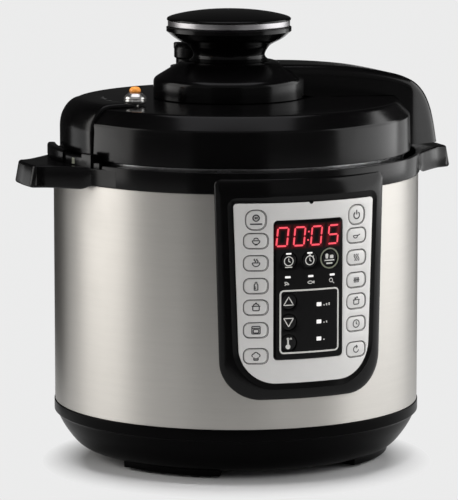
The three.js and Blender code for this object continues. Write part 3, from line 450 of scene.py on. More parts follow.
class Signal:
    """A node's output that arithmetic works on: each operator adds one Math node.

    Numbers may stand on either side, so `1 - mask` and `mask * 0.5` both work.
    """

    def __init__(self, owner, socket):
        self.owner, self.socket = owner, socket

    __add__, __radd__ = math_node("ADD"), math_node("ADD", True)
    __sub__, __rsub__ = math_node("SUBTRACT"), math_node("SUBTRACT", True)
    __mul__, __rmul__ = math_node("MULTIPLY"), math_node("MULTIPLY", True)
    __truediv__, __pow__ = math_node("DIVIDE"), math_node("POWER")
    __lt__, __gt__ = math_node("LESS_THAN"), math_node("GREATER_THAN")
    __abs__ = math_node("ABSOLUTE")
    lowest, highest = math_node("MINIMUM"), math_node("MAXIMUM")

    def held(self):
        """Kept between 0 and 1."""
        return self.highest(0.0).lowest(1.0)


class Nodes:
    """The node tree of a material or of the world, built up in Python."""

    def __init__(self, place):
        place.use_nodes = True
        self.tree = place.node_tree

    def put(self, value, socket):
        """Give a socket a number, a colour or a signal."""
        if isinstance(value, Signal):
            self.tree.links.new(value.socket, socket)
        else:
            socket.default_value = value

    def node(self, kind, settings=None, values=(), output=0):
        """Add a node: its settings first, then its inputs by order or by name."""
        made = self.tree.nodes.new(kind)
        for key, value in (settings or {}).items():
            setattr(made, key, value)
        for key, value in values.items() if isinstance(values, dict) else enumerate(values):
            self.put(value, made.inputs[key])
        return Signal(self, made.outputs[output])

    def outputs(self, kind, values=()):
        """Add a node and give all its outputs by name."""
        made = self.node(kind, {}, values).socket.node
        return {out.name: Signal(self, out) for out in made.outputs}


class Finish(Nodes):
    """One node material with a Principled shader."""

    def __init__(self, name, colour, roughness, metallic=0.0, **constants):
        self.material = bpy.data.materials.new(name)
        self.material.diffuse_color = (*colour, 1.0)
        super().__init__(self.material)
        self.shader = self.tree.nodes["Principled BSDF"]
        self.feed("Base Color", (*colour, 1.0))
        self.feed("Roughness", roughness)
        self.feed("Metallic", metallic)
        for key, value in constants.items():
            self.feed(key.replace("_", " "), value)

    def feed(self, name, value):
        """Give one of the shader's own sockets its value."""
        self.put(value, self.shader.inputs[name])

    def axes(self):
        """x, y and z in millimetres, from the body's upright axis."""
        here = self.node("ShaderNodeTexCoord", output="Object")
        at = self.outputs("ShaderNodeSeparateXYZ", [here])
        return (at["X"] * (1 / MM) - float(AXIS[0]), at["Y"] * (1 / MM) - float(AXIS[1]),
                at["Z"] * (1 / MM))

    def stretched(self, stretch=(1.0, 1.0, 1.0)):
        """Object coordinates, stretched by a factor along each axis."""
        here = self.node("ShaderNodeTexCoord", output="Object")
        return self.node("ShaderNodeMapping", {"vector_type": "POINT"},
                         {"Vector": here, "Scale": stretch})

    def noise(self, size, detail=2.0, stretch=(1.0, 1.0, 1.0), rough=0.5):
        """Cloud noise from 0 to 1 whose lumps are about `size` millimetres across."""
        return self.node("ShaderNodeTexNoise", {"noise_dimensions": "3D"},
                         {"Vector": self.stretched(stretch), "Scale": 1 / (size * MM),
                          "Detail": detail, "Roughness": rough})

    def mix(self, factor, a, b):
        """Colour a where factor is 0 and b where it is 1."""
        a, b = (c if isinstance(c, Signal) else (*c, 1.0) for c in (a, b))
        return self.node("ShaderNodeMix", {"data_type": "RGBA"}, {0: factor, 6: a, 7: b}, 2)

    def tone(self, factor, colour, low, high):
        """Feed a colour that runs from `low` to `high` times itself with the factor."""
        self.feed("Base Color", self.mix(factor, shaded(colour, low), shaded(colour, high)))

    def relief(self, height, depth):
        """Bump from a height of 0 to 1, `depth` millimetres deep."""
        self.feed("Normal", self.node("ShaderNodeBump", {}, {
            "Strength": 1.0, "Distance": depth * MM, "Height": height}))


def shaded(colour, factor):
    """A colour times a factor, with no channel above 1."""
    return tuple(min(1.0, c * factor) for c in colour)


def plastic_finish(name, colour, roughness, grain, depth, gloss=0.5, dust=0.08):
    """Moulded plastic: faint uneven tone, a soft sink-mark wave, grain, and hairline rub marks."""
    f = Finish(name, colour, roughness, Specular_IOR_Level=gloss)
    cloud = f.noise(26.0, 3.0)
    grain_noise = f.noise(grain)
    rub = f.noise(7.0, 4.0, (0.35, 0.35, 3.0))
    specks = ((f.noise(2.4, 1.0) - 0.73) * 9.0).held() * dust
    f.tone((cloud * 0.8 + specks).held(), colour, 0.86, 1.22)
    f.feed("Roughness", (roughness + (cloud - 0.5) * 0.07 + (rub - 0.5) * 0.06 + specks).held())
    f.relief(grain_noise * 0.75 + cloud * 0.25, depth)


def steel_finish(name, colour, roughness, lines, depth, anisotropic=0.0, seam=False):
    """Brushed steel: fine lines round the body, drifting tone, faint smudges and a rear seam."""
    f = Finish(name, colour, roughness, 1.0, Anisotropic=anisotropic, Anisotropic_Rotation=0.25)
    stretch = (0.045, 0.045, 1.0)
    fine, broad = f.noise(lines, 3.0, stretch, 0.7), f.noise(lines * 7.0, 2.0, stretch)
    cloud = f.noise(45.0, 3.0)
    smudge = ((f.noise(17.0, 4.0) - 0.56) * 3.0).held()
    f.tone((fine * 0.55 + broad * 0.25 + cloud * 0.2).held(), colour, 0.86, 1.12)
    f.feed("Roughness", (roughness + (fine - 0.5) * 0.16 + (cloud - 0.5) * 0.05
                         + smudge * 0.05).held())
    height = fine * 0.7 + broad * 0.3
    if seam:
        x, y, _ = f.axes()
        joint = (abs(x) < 0.45) * (y > 0.0)
        height = height * (1.0 - joint) - joint * 6.0
    f.relief(height, depth)


def cast_finish(name, colour, roughness, metallic, size, depth, rings=False):
    """Cast, turned or coated metal: pits, drifting tone and, on turned faces, fine lathe rings."""
    f = Finish(name, colour, roughness, metallic)
    cloud, pits = f.noise(size * 9.0, 3.0), f.noise(size)
    wear = ((f.noise(12.0, 5.0) - 0.55) * 4.0).held()
    height = pits
    if rings:
        x, y, _ = f.axes()
        turn = f.node("ShaderNodeMath", {"operation": "SINE"}, [(x * x + y * y) ** 0.5 * 7.0])
        height = pits * 0.4 + turn * 0.3 + 0.3
    f.tone((cloud * 0.7 + wear * 0.3).held(), colour, 0.82, 1.2)
    f.feed("Roughness", (roughness + (pits - 0.5) * 0.12 + wear * 0.08).held())
    f.relief(height, depth)


def film_finish(name, colour, roughness, sparkle, metallic):
    """Printed satin film: metal flakes under a clear face, with drifting tone and light rubs."""
    f = Finish(name, colour, roughness, metallic)
    flake, cloud = f.noise(sparkle, 1.0), f.noise(34.0, 3.0)
    rub = f.noise(9.0, 4.0, (1.0, 1.0, 0.2))
    f.tone((flake * 0.5 + cloud * 0.5).held(), colour, 0.9, 1.1)
    f.feed("Roughness", (roughness + (flake - 0.5) * 0.14 + (rub - 0.5) * 0.1).held())
    f.relief(flake * 0.6 + rub * 0.4, 0.012)


def board_finish(name, colour):
    """Circuit board: dark and light tracks as a stepped grid, under green lacquer."""
    f = Finish(name, colour, 0.35)
    cell = f.node("ShaderNodeTexVoronoi", {"feature": "F1", "distance": "MANHATTAN"},
                  {"Vector": f.stretched(), "Scale": 1 / (5.0 * MM)})
    track = (cell < 0.32) * 1.0
    pad = f.noise(1.6, 1.0) > 0.66
    green = f.mix(track, shaded(colour, 0.7), shaded(colour, 1.5))
    f.feed("Base Color", f.mix(pad, green, (0.55, 0.5, 0.4)))
    f.feed("Metallic", pad * 0.9)
    f.relief(track, 0.05)


def glow_finish(name, colour, strength, ground):
    """A lit mark: a coloured light whose strength drifts a little over its face."""
    f = Finish(name, ground, 0.3, Emission_Strength=strength)
    drift = f.noise(3.0, 1.0)
    f.feed("Emission Color", f.mix(drift, shaded(colour, 0.88), colour))
    f.tone(drift, ground, 0.9, 1.1)


DIGIT_PLACES = (-21.8, -8.3, 5.6, 20.0)     # middles of the display's digits, from left
DIGIT_DROP = 12.3                           # from the window's top to the digits' middle
DIGIT_WIDE, DIGIT_HIGH, DIGIT_BAR = 8.2, 14.0, 1.35
DIGIT_LEAN = 0.1


def glass_finish(name, colour, glow):
    """Smoked display glass, with the digits' red light spreading faintly round their bars."""
    f = Finish(name, colour, 0.12, Specular_IOR_Level=0.12, Emission_Strength=glow)
    cloud, grain, rub = f.noise(26.0, 3.0), f.noise(1.2), f.noise(8.0, 4.0)
    x, _, z = f.axes()
    high = z - (levels("display_window")[1] - DIGIT_DROP)
    near = None
    for place in DIGIT_PLACES:
        across = abs(x - place - high * DIGIT_LEAN) - DIGIT_WIDE / 2
        gap = abs(across.highest(abs(high) - DIGIT_HIGH / 2))
        near = gap if near is None else near.lowest(gap)
    spread = (1.0 - near / 3.4).held() ** 2.0
    f.feed("Emission Color", f.mix(spread, (0.0, 0.0, 0.0), (1.0, 0.03, 0.06)))
    f.tone(cloud, colour, 0.8, 1.3)
    f.feed("Roughness", (0.12 + (rub - 0.5) * 0.06).held())
    f.relief(grain * 0.6 + cloud * 0.4, 0.003)


# ------------------------------------------------------------------ settings
COLOUR = {"subtype": "COLOR", "size": 3}
SHARE = {"subtype": "FACTOR", "min": 0.0, "max": 1.0}


class CookerColours(bpy.types.PropertyGroup):
    """Colours a user would change, as the shader takes them."""
    plastic: FloatVectorProperty(name="Black plastic", description="Collar, lid, knob and base",
                                 default=(0.0012, 0.0011, 0.0012), **COLOUR)
    steel: FloatVectorProperty(name="Outer steel", description="Brushed sleeve round the body",
                               default=(0.53, 0.512, 0.482), **COLOUR)
    film: FloatVectorProperty(name="Panel film", description="Silver face of the control panel",
                              default=(0.68, 0.67, 0.655), **COLOUR)
    ink: FloatVectorProperty(name="Key ink", description="Marks and outlines on the silver face",
                             default=(0.02, 0.02, 0.023), **COLOUR)
    digits: FloatVectorProperty(name="Digits", description="Lit digits of the display",
                                default=(1.0, 0.085, 0.12), **COLOUR)
    valve: FloatVectorProperty(name="Float cap", description="Coloured cap of the float valve",
                               default=(0.80, 0.30, 0.05), **COLOUR)


class CookerSizes(bpy.types.PropertyGroup):
    """Sizes a user would change."""
    facets: IntProperty(name="Facets", description="Facets round a large turned piece",
                        default=224, min=48, max=400)
    edge: FloatProperty(name="Edge", description="Rounding of the moulded edges",
                        default=0.0009, min=0.0002, max=0.003, unit="LENGTH")
    outline: FloatProperty(name="Key outline", description="Width of the line round each key",
                           default=0.00045, min=0.0003, max=0.002, unit="LENGTH")
    lit: BoolProperty(name="Display on", description="Light the digits and the small lamps",
                      default=True)


class CookerStudio(bpy.types.PropertyGroup):
    """Camera and lamps."""
    turn: FloatProperty(name="Turn", description="Camera's turn round the cooker",
                        default=math.radians(-22.0), subtype="ANGLE")
    distance: FloatProperty(name="Distance", description="Camera to the upright axis",
                            default=2.85, unit="LENGTH")
    height: FloatProperty(name="Height", description="Camera above the table",
                          default=0.587, unit="LENGTH")
    lens: FloatProperty(name="Lens", description="Focal length in millimetres", default=259.7)
    aim: FloatProperty(name="Aim", description="Height that the camera looks at",
                       default=0.161, unit="LENGTH")
    backdrop: FloatProperty(name="Backdrop", description="Brightness of floor and backdrop",
                            default=0.835, **SHARE)
    room: FloatProperty(name="Room", description="Brightness of the room behind the set",
                        default=0.03, **SHARE)
    room_front: FloatProperty(name="Room in front", default=0.36, **SHARE,
                              description="Brightness of the room behind the camera")


def colours():
    return bpy.context.scene.cooker_colours


def sizes():
    return bpy.context.scene.cooker_sizes


def studio():
    return bpy.context.scene.cooker_studio


# ------------------------------------------------------------------ one finish for each slot
def looks():
    """For each slot, the function of its finish and what that takes after the name."""
    black, steel, film, ink, red, orange = (
        tuple(getattr(colours(), key)) for key in ("plastic", "steel", "film", "ink", "digits",
                                                   "valve"))
    lit = 1.0 if sizes().lit else 0.0
    plastic, cast = plastic_finish, cast_finish
    return {
        "black_plastic": (plastic, black, 0.18, 0.6, 0.004, 0.17, 0.03),
        "base_plastic": (plastic, black, 0.32, 0.6, 0.008, 0.03, 0.02),
        "knob_plastic": (plastic, black, 0.28, 0.6, 0.006, 0.2, 0.03),
        "dark_plastic": (plastic, (0.02, 0.02, 0.022), 0.42, 0.8, 0.02),
        "dark_key": (plastic, (0.003, 0.0028, 0.003), 0.22, 0.7, 0.006, 0.2, 0.03),
        "orange_plastic": (plastic, orange, 0.35, 0.7, 0.01),
        "silicone": (plastic, (0.62, 0.59, 0.52), 0.45, 0.8, 0.02),
        "key_ink": (plastic, ink, 0.5, 0.3, 0.004),
        "white_ink": (plastic, (0.62, 0.61, 0.58), 0.5, 0.3, 0.004),
        # olive ink: the printed ring round a display key, and also the painted highlight of the guard's tick
        "ring_ink": (plastic, (0.16, 0.17, 0.12), 0.4, 0.3, 0.004),
        "stainless": (steel_finish, steel, 0.48, 0.5, 0.006, 0.8, True),
        "pressed_steel": (steel_finish, (0.62, 0.62, 0.63), 0.24, 0.6, 0.006),
        "chrome": (steel_finish, (0.36, 0.35, 0.36), 0.34, 0.35, 0.003),
        "aluminium": (cast, (0.62, 0.63, 0.64), 0.34, 1.0, 0.9, 0.03, True),
        "pot_coating": (cast, (0.075, 0.073, 0.075), 0.38, 0.25, 0.7, 0.02),
        "brass": (cast, (0.70, 0.52, 0.24), 0.24, 1.0, 0.4, 0.01),
        "satin_steel": (cast, (0.74, 0.73, 0.71), 0.2, 0.95, 0.5, 0.01),
        "foot_rubber": (cast, (0.02, 0.02, 0.02), 0.75, 0.0, 0.5, 0.05),
        "silver_overlay": (film_finish, film, 0.42, 0.28, 0.2),
        "silver_key": (film_finish, shaded(film, 0.97), 0.38, 0.28, 0.2),
        "circuit_board": (board_finish, (0.02, 0.11, 0.045)),
        "display_black": (glass_finish, (0.002, 0.0019, 0.002), 0.12 * lit),
        "digit_glow": (glow_finish, red, lit, (0.25, 0.02, 0.03)),
        "lamp_glow": (glow_finish, (0.78, 0.76, 0.74), lit, (0.3, 0.3, 0.3)),
    }


def finish(slot):
    """The finish of a slot, made when it is first asked for."""
    name = slot + "_finish"
    if name not in bpy.data.materials:
        make, *values = looks()[slot]
        make(name, *values)
    return bpy.data.materials[name]


# ------------------------------------------------------------------ control panel shapes
def wrapped(outline, radius):
    """Put a flat (x, z) outline on the upright cylinder of a radius, seen square from the front."""
    p = np.asarray(outline, float)
    y = AXIS[1] - np.sqrt(np.maximum(radius ** 2 - p[..., 0] ** 2, 0))
    return np.stack([p[..., 0] + AXIS[0], y, p[..., 1]], -1)


def stroke(path, width, radius, height=0.07, closed=False):
    """A thin raised line on the cylinder of a radius, along a flat (x, z) path.

    The path is moved half a width to each side along its normals, and a low box section is
    carried along it.
    """
    p = divided(path, closed)
    side = np.roll(p, -1, 0) - np.roll(p, 1, 0) if closed else np.gradient(p, axis=0)
    side /= np.maximum(np.linalg.norm(side, axis=1), 1e-9)[:, None]
    n = np.stack([side[:, 1], -side[:, 0]], -1) * width / 2
    low, high = radius - SUNK, radius + height
    corners = [wrapped(p + n, low), wrapped(p + n, high), wrapped(p - n, high),
               wrapped(p - n, low)]
    return grid(np.stack(corners, 1), wrap_u=closed, wrap_v=True, cap_u=not closed)


def bent_plate(rings, shares=(0.0, 0.17, 0.34, 0.5, 0.65, 0.79, 0.91)):
    """A plate bent on the body's cylinder, from rings of (outline, radius), back to front.

    Ring k's flat outline lies on the cylinder of its radius and is joined point to point with
    the next ring, so both closed ends follow the cylinder too.
    """
    return grid([wrapped(o, r) for o, r in filled(rings, shares)], wrap_v=True)


def patch(outline, radius, height=0.07):
    """A thin raised shape on the cylinder of a radius, filled inside its flat outline."""
    p = divided(outline, True)
    return bent_plate([(p, radius - SUNK), (p, radius + height)], (0.0, 0.33, 0.67))


def within(points, loop):
    """For each flat point, whether a ray to its right crosses the loop an odd number of times."""
    x, z = points[:, :1], points[:, 1:2]
    a, b = loop, np.roll(loop, -1, 0)
    spans = (a[None, :, 1] > z) != (b[None, :, 1] > z)
    with np.errstate(divide="ignore", invalid="ignore"):
        cross = a[None, :, 0] + (z - a[None, :, 1]) * (b[:, 0] - a[:, 0]) / (b[:, 1] - a[:, 1])
    return (spans & (x < cross)).sum(1) % 2 == 1


def face_with_holes(outline, holes, radius, pitch=4.0):
    """A face on the cylinder, filled between a flat outline and its holes.

    The outline, the holes and a lattice of points between them are joined by Delaunay triangles,
    and those whose middle lies outside the outline or in a hole are dropped.
    """
    def open_at(points, clearance=0.0):
        free = within(points, grown(outline, -clearance))
        for hole in holes:
            free &= ~within(points, grown(hole, clearance))
        return free

    edges, first = [], 0
    for loop in (outline, *holes):
        n = len(loop)
        edges += [(first + i, first + (i + 1) % n) for i in range(n)]
        first += n
    low, high = outline.min(0) + pitch / 2, outline.max(0)
    lattice = np.stack(np.meshgrid(np.arange(low[0], high[0], pitch),
                                   np.arange(low[1], high[1], pitch * 1.5)), -1).reshape(-1, 2)
    points = np.vstack([outline, *holes, lattice[open_at(lattice, 1.0)]])
    made = delaunay_2d_cdt([Vector(p) for p in points.tolist()], edges, [], 1, 1e-5, False)
    flat = np.array([tuple(v) for v in made[0]])
    tri = np.array([f for f in made[2] if len(f) == 3])
    return wrapped(flat, radius), tri[open_at(flat[tri].mean(1))].tolist()


def perforated(outline, holes, back, front, edge):
    """A plate with holes, bent on the cylinder, whose front edges are rounded over `edge`."""
    surfaces = [
        face_with_holes(grown(outline, -edge), [grown(h, edge) for h in holes], front),
        face_with_holes(outline, holes, back),
    ]
    for loop, way in [(outline, -1.0)] + [(h, 1.0) for h in holes]:
        rings = [wrapped(loop, back)]
        for t in np.radians(np.linspace(0, 90, 4)):
            rings.append(wrapped(grown(loop, way * edge * (1 - math.cos(t))),
                                 front - edge * (1 - math.sin(t))))
        surfaces.append(grid(rings, wrap_v=True))
    return joined(surfaces)


PANEL, OVERLAY, WINDOW = (box_mm(n) for n in ("panel_frame", "panel_overlay", "display_window"))
SIDE_KEYS = ["key_%d" % i for i in range(1, 15)]
ROUND_KEYS = ("key_1", "key_8")
DISC_KEYS = ["%s_key_%d" % (kind, i) for kind in ("mode", "adjust") for i in (1, 2, 3)]
KEY_GAP = 0.4                # between a key and its hole


def front_radius(node):
    """How far a panel node's front stands from the upright axis."""
    low, high = box_mm(node)
    beside = 0.0 if low[0] < AXIS[0] < high[0] else min(abs(low[0] - AXIS[0]),
                                                        abs(high[0] - AXIS[0]))
    return math.hypot(AXIS[1] - low[1], beside)


def key_middle(node):
    """The x and z of a key's middle, from the upright axis."""
    low, high = box_mm(node)
    return np.array([(low[0] + high[0]) / 2 - AXIS[0], (low[2] + high[2]) / 2])


def key_outline(node, by=0.0):
    """A key's flat outline, moved outwards by a clearance."""
    low, high = box_mm(node)
    cx, cz = key_middle(node)
    half, half_z = (high[0] - low[0]) / 2 + by, (high[2] - low[2]) / 2 + by
    if node in DISC_KEYS:
        return circle(half, 48, (cx, cz))
    corner = (5.6 if node in ROUND_KEYS else 4.0) + by
    return rounded_rect(half, half, cz - half_z, cz + half_z, corner, corner, 7, 4) + (cx, 0)


def overlay_outline(by=0.0):
    """The silver face's outline, narrower at its round foot, moved outwards by a clearance."""
    low, high = OVERLAY
    half = (high[0] - low[0]) / 2 + by
    return rounded_rect(half, half - 3.6, low[2] - by, high[2] + by, 2.6 + by, 28 + by, 16, 20)


def window_outline(by=0.0):
    """The display window's outline, moved outwards by a clearance."""
    low, high = WINDOW
    half = (high[0] - low[0]) / 2 + by
    return rounded_rect(half, half, low[2] - by, high[2] + by, 3 + by, 3 + by, 8, 10)


def frame_ring(side, top, foot, radius):
    """One ring of the panel frame: its outline drawn in by side, top and foot, at a radius."""
    low, high = PANEL
    half = (high[0] - low[0]) / 2 - 0.8 - side
    return (rounded_rect(half, half - 3.4, low[2] + foot, high[2] - top,
                         max(4.6 - side * 0.1, 1.5), max(30 - foot, 6), 16, 20), radius)


# ------------------------------------------------------------------ printed marks
def wave(x, low, high, swing=0.09, count=16):
    """An upright wavy line, as steam is drawn."""
    z = np.linspace(low, high, count)
    return np.stack([x + swing * np.sin((z - low) / (high - low) * 2 * np.pi), z], -1)


def level(x0, x1, z):
    """A line across."""
    return [(x0, z), (x1, z)]


def upright(x, z0, z1):
    """A line up or down."""
    return [(x, z0), (x, z1)]


BOWL = np.vstack([arc(0.42, 180, 360, 20, (0, 0.05)), [[-0.42, 0.05]]])
POT = [[(-0.36, 0.16), (-0.36, -0.3), (-0.3, -0.36), (0.3, -0.36), (0.36, -0.3), (0.36, 0.16)],
       level(-0.48, 0.48, 0.16)]
BOTTLE = [(-0.2, 0.16), (-0.2, -0.46), (0.2, -0.46), (0.2, 0.16), (0.09, 0.28), (0.09, 0.46),
          (-0.09, 0.46), (-0.09, 0.28)]
HAT = np.vstack([arc(0.19, 240, 90, 10, (-0.26, 0.08)), arc(0.22, 150, 30, 10, (0, 0.24)),
                 arc(0.19, 90, -60, 10, (0.26, 0.08))])
LEAF = np.vstack([arc(0.5, 25, 100, 12, (-0.32, -0.34)), arc(0.5, 205, 280, 12, (0.02, 0.3))])
FISH = np.vstack([arc(0.5, 40, 140, 14, (-0.06, -0.32)), arc(0.5, 220, 320, 14, (-0.06, 0.32))])
MARKS = {   # name: open paths, closed paths, in a square of one unit
    "pause": ([upright(-0.14, 0.2, -0.2), upright(0.14, 0.2, -0.2)], [circle(0.5, 32)]),
    "grain": ([BOWL, arc(0.3, 25, 155, 12, (0, 0.05)), level(-0.16, 0.16, -0.44)], []),
    "porridge": ([BOWL, wave(-0.14, 0.14, 0.5), wave(0.14, 0.14, 0.5)], []),
    "bottle": ([level(-0.2, 0.0, -0.1), level(-0.2, 0.0, -0.28)], [BOTTLE]),
    "pot": (POT + [arc(0.34, 20, 160, 12, (0, 0.1))], [circle(0.05, 10, (0, 0.5))]),
    "oven": ([level(-0.46, 0.46, 0.24)], [rounded_rect(0.46, 0.46, -0.42, 0.46, 0.1, 0.1, 4),
                                          rounded_rect(0.3, 0.3, -0.3, 0.1, 0.06, 0.06, 4)]),
    "hat": ([[(-0.24, -0.46), (0.24, -0.46), (0.24, -0.12)], upright(-0.24, -0.46, -0.12),
             level(-0.24, 0.24, -0.3), HAT], []),
    "power": ([arc(0.36, 125, 415, 36, (0, -0.05)), upright(0, 0.02, 0.5)], []),
    "pan": ([arc(0.3, 180, 360, 16, (-0.16, 0.0)), level(-0.46, 0.14, 0.0),
             [(0.12, -0.05), (0.5, 0.1)]], []),
    "steam": ([wave(x, -0.4, 0.4) for x in (-0.26, 0.0, 0.26)], []),
    "grill": ([upright(x, -0.3, 0.3) for x in (-0.3, -0.1, 0.1, 0.3)]
              + [level(-0.42, 0.42, 0.0)], []),
    "simmer": (POT, [circle(0.07, 12, (-0.14, 0.34)), circle(0.06, 12, (0.12, 0.44))]),
    "clock": ([[(0.0, 0.26), (0.0, 0.0), (0.17, -0.1)]], [circle(0.44, 32)]),
    "again": ([arc(0.36, 60, 350, 32), [(0.02, 0.5), (0.2, 0.3), (0.0, 0.14)]], []),
    "triangle": ([], [[(-0.5, -0.38), (0.5, -0.38), (0.0, 0.46)]]),
    "leaf": ([[(-0.44, -0.3), (0.0, 0.02)]], [LEAF]),
    "fish": ([], [FISH, [(0.32, 0.0), (0.5, 0.18), (0.5, -0.18)]]),
    "joint": ([[(0.02, -0.08), (0.34, -0.36)]], [circle(0.25, 20, (-0.16, 0.1))]),
}
SIDE_MARKS = ("pause", "grain", "porridge", "bottle", "pot", "oven", "hat",
              "power", "pan", "steam", "grill", "simmer", "clock", "again")


def drawn(name, size, at, width, radius, height=0.07):
    """The raised strokes of a mark, brought to a size in millimetres and a place."""
    made = []
    for closed, paths in enumerate(MARKS[name]):
        for path in paths:
            p = np.asarray(path, float) * size + np.asarray(at, float)
            p = spaced(p, max(12, 3 * len(p)), closed) if len(p) < 10 else p
            made.append(stroke(p, width, radius, height, bool(closed)))
    return made


def digit(value, x, z, radius):
    """A seven-bar digit: each bar is a long hexagon, and the digit leans to the right."""
    w, h, t = DIGIT_WIDE / 2, DIGIT_HIGH / 2, DIGIT_BAR / 2
    bars = {"a": ((-w, h), (w, h)), "b": ((w, h), (w, 0)), "c": ((w, 0), (w, -h)),
            "d": ((-w, -h), (w, -h)), "e": ((-w, 0), (-w, -h)), "f": ((-w, h), (-w, 0)),
            "g": ((-w, 0), (w, 0))}
    made = []
    for bar in {0: "abcdef", 5: "afgcd"}[value]:
        a, b = (np.array(p, float) for p in bars[bar])
        along = (b - a) / np.linalg.norm(b - a)
        side = np.array([along[1], -along[0]]) * t
        a, b = a + along * 0.35, b - along * 0.35
        flat = np.array([a, a + along * t + side, b - along * t + side, b,
                         b - along * t - side, a + along * t - side])
        flat[:, 0] += flat[:, 1] * DIGIT_LEAN
        made.append(patch(flat + (x, z), radius, 0.05))
    return made


# ------------------------------------------------------------------ operators
class COOKER_OT_base(bpy.types.Operator):
    """Black bowl under the body, with the niche of the mains socket"""
    bl_idname = "cooker.base"
    bl_label = "Base bowl"

    def execute(self, context):
        z_low = levels("bottom_cover")[1] - 2.5
        top = levels("outer_shell")[0] - 0.3
        outer = fillet([
            (141.4, 39.5), (141.4, top + 6.8), (R_INNER, top + 6.8), (R_INNER, top), (R_LIP, top),
            (R_LIP, 34.8), (143.4, 33.7), (140.2, 26.6), (135.6, 19.3), (129.2, 11.2),
            (123.6, 7.2), (118, 6.2), (100.3, 6.2), (100.3, z_low + 0.9)],
            [1, 0.4, 0.5, 0.3, 0.5, 0.4, 1.5, 4, 5, 5, 4, 3, 0.4, 0.3])
        inner = fillet([
            (94, z_low + 0.9), (94, 9.4), (121.0, 8.4), (126.6, 12.6), (133.2, 20.8),
            (139.4, 33), (141.3, 38.0)], [0.3, 0.3, 3, 4, 4, 3, 1], 4)
        rear = box_mm("power_inlet")[1][1] - AXIS[1] - 3.3
        bowl = bowl_surface(outer, inner, 20.0, (8.8, 32.0), rear, 2.4)
        pads = [ring(104.5, 121.5, 2.0, 8.0, 0.5, 4, 24, angle - 20, 40)
                for angle in (48, 132, 228, 312)]
        build("base_bowl", {"base_plastic": [bowl, *pads]}, "base", "base_housing",
              "black_plastic")
        return {"FINISHED"}


class COOKER_OT_shell(bpy.types.Operator):
    """Brushed steel sleeve with rolled rims"""
    bl_idname = "cooker.shell"
    bl_label = "Steel sleeve"

    def execute(self, context):
        sleeve = ring(R_BODY - 0.8, R_BODY, *levels("outer_shell"), 0.35, 5, 256)
        build("steel_sleeve", [sleeve], "base", "outer_shell", "stainless")
        return {"FINISHED"}


class COOKER_OT_collar(bpy.types.Operator):
    """Collar with its drip trough, two ears, bracket guard and rear hood"""
    bl_idname = "cooker.collar"
    bl_label = "Collar"

    def execute(self, context):
        low, high = box_mm("collar")
        seam = levels("outer_shell")[1] + 0.3
        parts = [lathe([
            (R_INNER - 2.5, low[2]), (R_INNER, low[2]), (R_INNER, seam), (R_LIP, seam),
            (R_LIP, 241.5), (R_BORE, 241.5), (R_BORE, 228.3), (124.4, 228.3), (124.4, 231),
            (122, 231), (122, 225.9), (R_INNER - 2.5, 225.9)],
            [0.3, 0.3, 0.2, 0.5, 0.8, 0.4, 1.5, 1.2, 0.8, 0.8, 0.4, 0.4], 6)]
        parts += self.ears(high[0] - AXIS[0], seam)
        for wide, z0, z1, back, first, sweep in (
                (148.5, 238.5, 246.9, 1.6, 254.5, 34.0), (149.0, 238.5, high[2], 1.4, 285.0, 4.4),
                (150.0, 238.5, high[2], 2.6, 253.5, 20.5),
                (147.3, 238.8, 243.6, 0.9, 251.5, 41.0)):
            parts.append(ring(R_BORE, wide, z0, z1, back, 6, 48, first, sweep))
        rear, half, root = high[1] - AXIS[1], 32, 143.5
        side = math.degrees(math.asin(half / root))
        hood = np.vstack([arc(root, 90 + side, 90 - side, 13), fillet(
            [(half, 150), (half, rear), (-half, rear), (-half, 150)], 5, 7)])
        parts.append(edged(hood + AXIS, 225.3, 232, 1.2))
        for side in (-1, 1):
            for x0, x1, z1 in ((29.9, 32, 226.5), (26.9, 31.5, 218.4)):
                rail = rounded_rect((x1 - x0) / 2, (x1 - x0) / 2, 147, rear, 0.6, 0.6, 5)
                parts.append(edged(rail + (side * (x0 + x1) / 2, 0) + AXIS, 216, z1, 0.4))
        # the grey tick in the guard's recess is a painted highlight, drawn as a thin ink mark
        tick_highlight = ring(148.45, 148.54, 240.4, 245.0, 0, 2, 3, 279.2, 1.6)
        build("collar_ring", {"black_plastic": parts, "ring_ink": [tick_highlight]}, "base", "collar",
              "black_plastic")
        return {"FINISHED"}

    def ears(self, tip, seam):
        """The two carrying ears: each grows out of the collar's ring and ends in a nose."""
        root = 143.6
        flank = spline([(127.6, 70.4), (132.2, 61.8), (136.9, 53.7), (143.0, 45.8), (150.6, 38.2),
                        (159, 30.4), (167, 24.0), (tip - 4, 20.6)], 6)[:-1]
        start = math.degrees(math.asin(flank[0][1] / root))

        def ear(out, drop):
            """An ear's outline with its nose drawn in by `out`, and the share of the lip's
            `drop` below the seam at each point, which grows with the distance from the collar."""
            end = tip - out
            nose = fillet([(end - 4, 20.6), (end - 0.9, 19.0), (end, 0), (end - 0.9, -19.0),
                           (end - 4, -20.6)], 3.6, 9)
            outline = np.vstack([arc(root, start, -start, 25), flank * (1, -1), nose[::-1],
                                 flank[::-1]])
            away = np.clip((np.linalg.norm(outline, axis=1) - 147.0) / 6, 0, 1)
            return outline, seam + 0.5 - drop * away ** 2 * (3 - 2 * away)

        made = []
        for side in (1, -1):
            rings = []
            for t in QUARTER:
                outline, height = ear(0, 3.8 - 2.2 * (1 - math.cos(t)))
                rings.append((grown(outline, -2.2 * (1 - math.sin(t))), height))
            outline = ear(2.6, 0)[0]
            rings += [(grown(outline, -1.8 * (1 - math.cos(t))), 239.5 - 1.8 * (1 - math.sin(t)))
                      for t in QUARTER]
            made.append(stacked([(o * side + AXIS, z) for o, z in rings]))
        return made


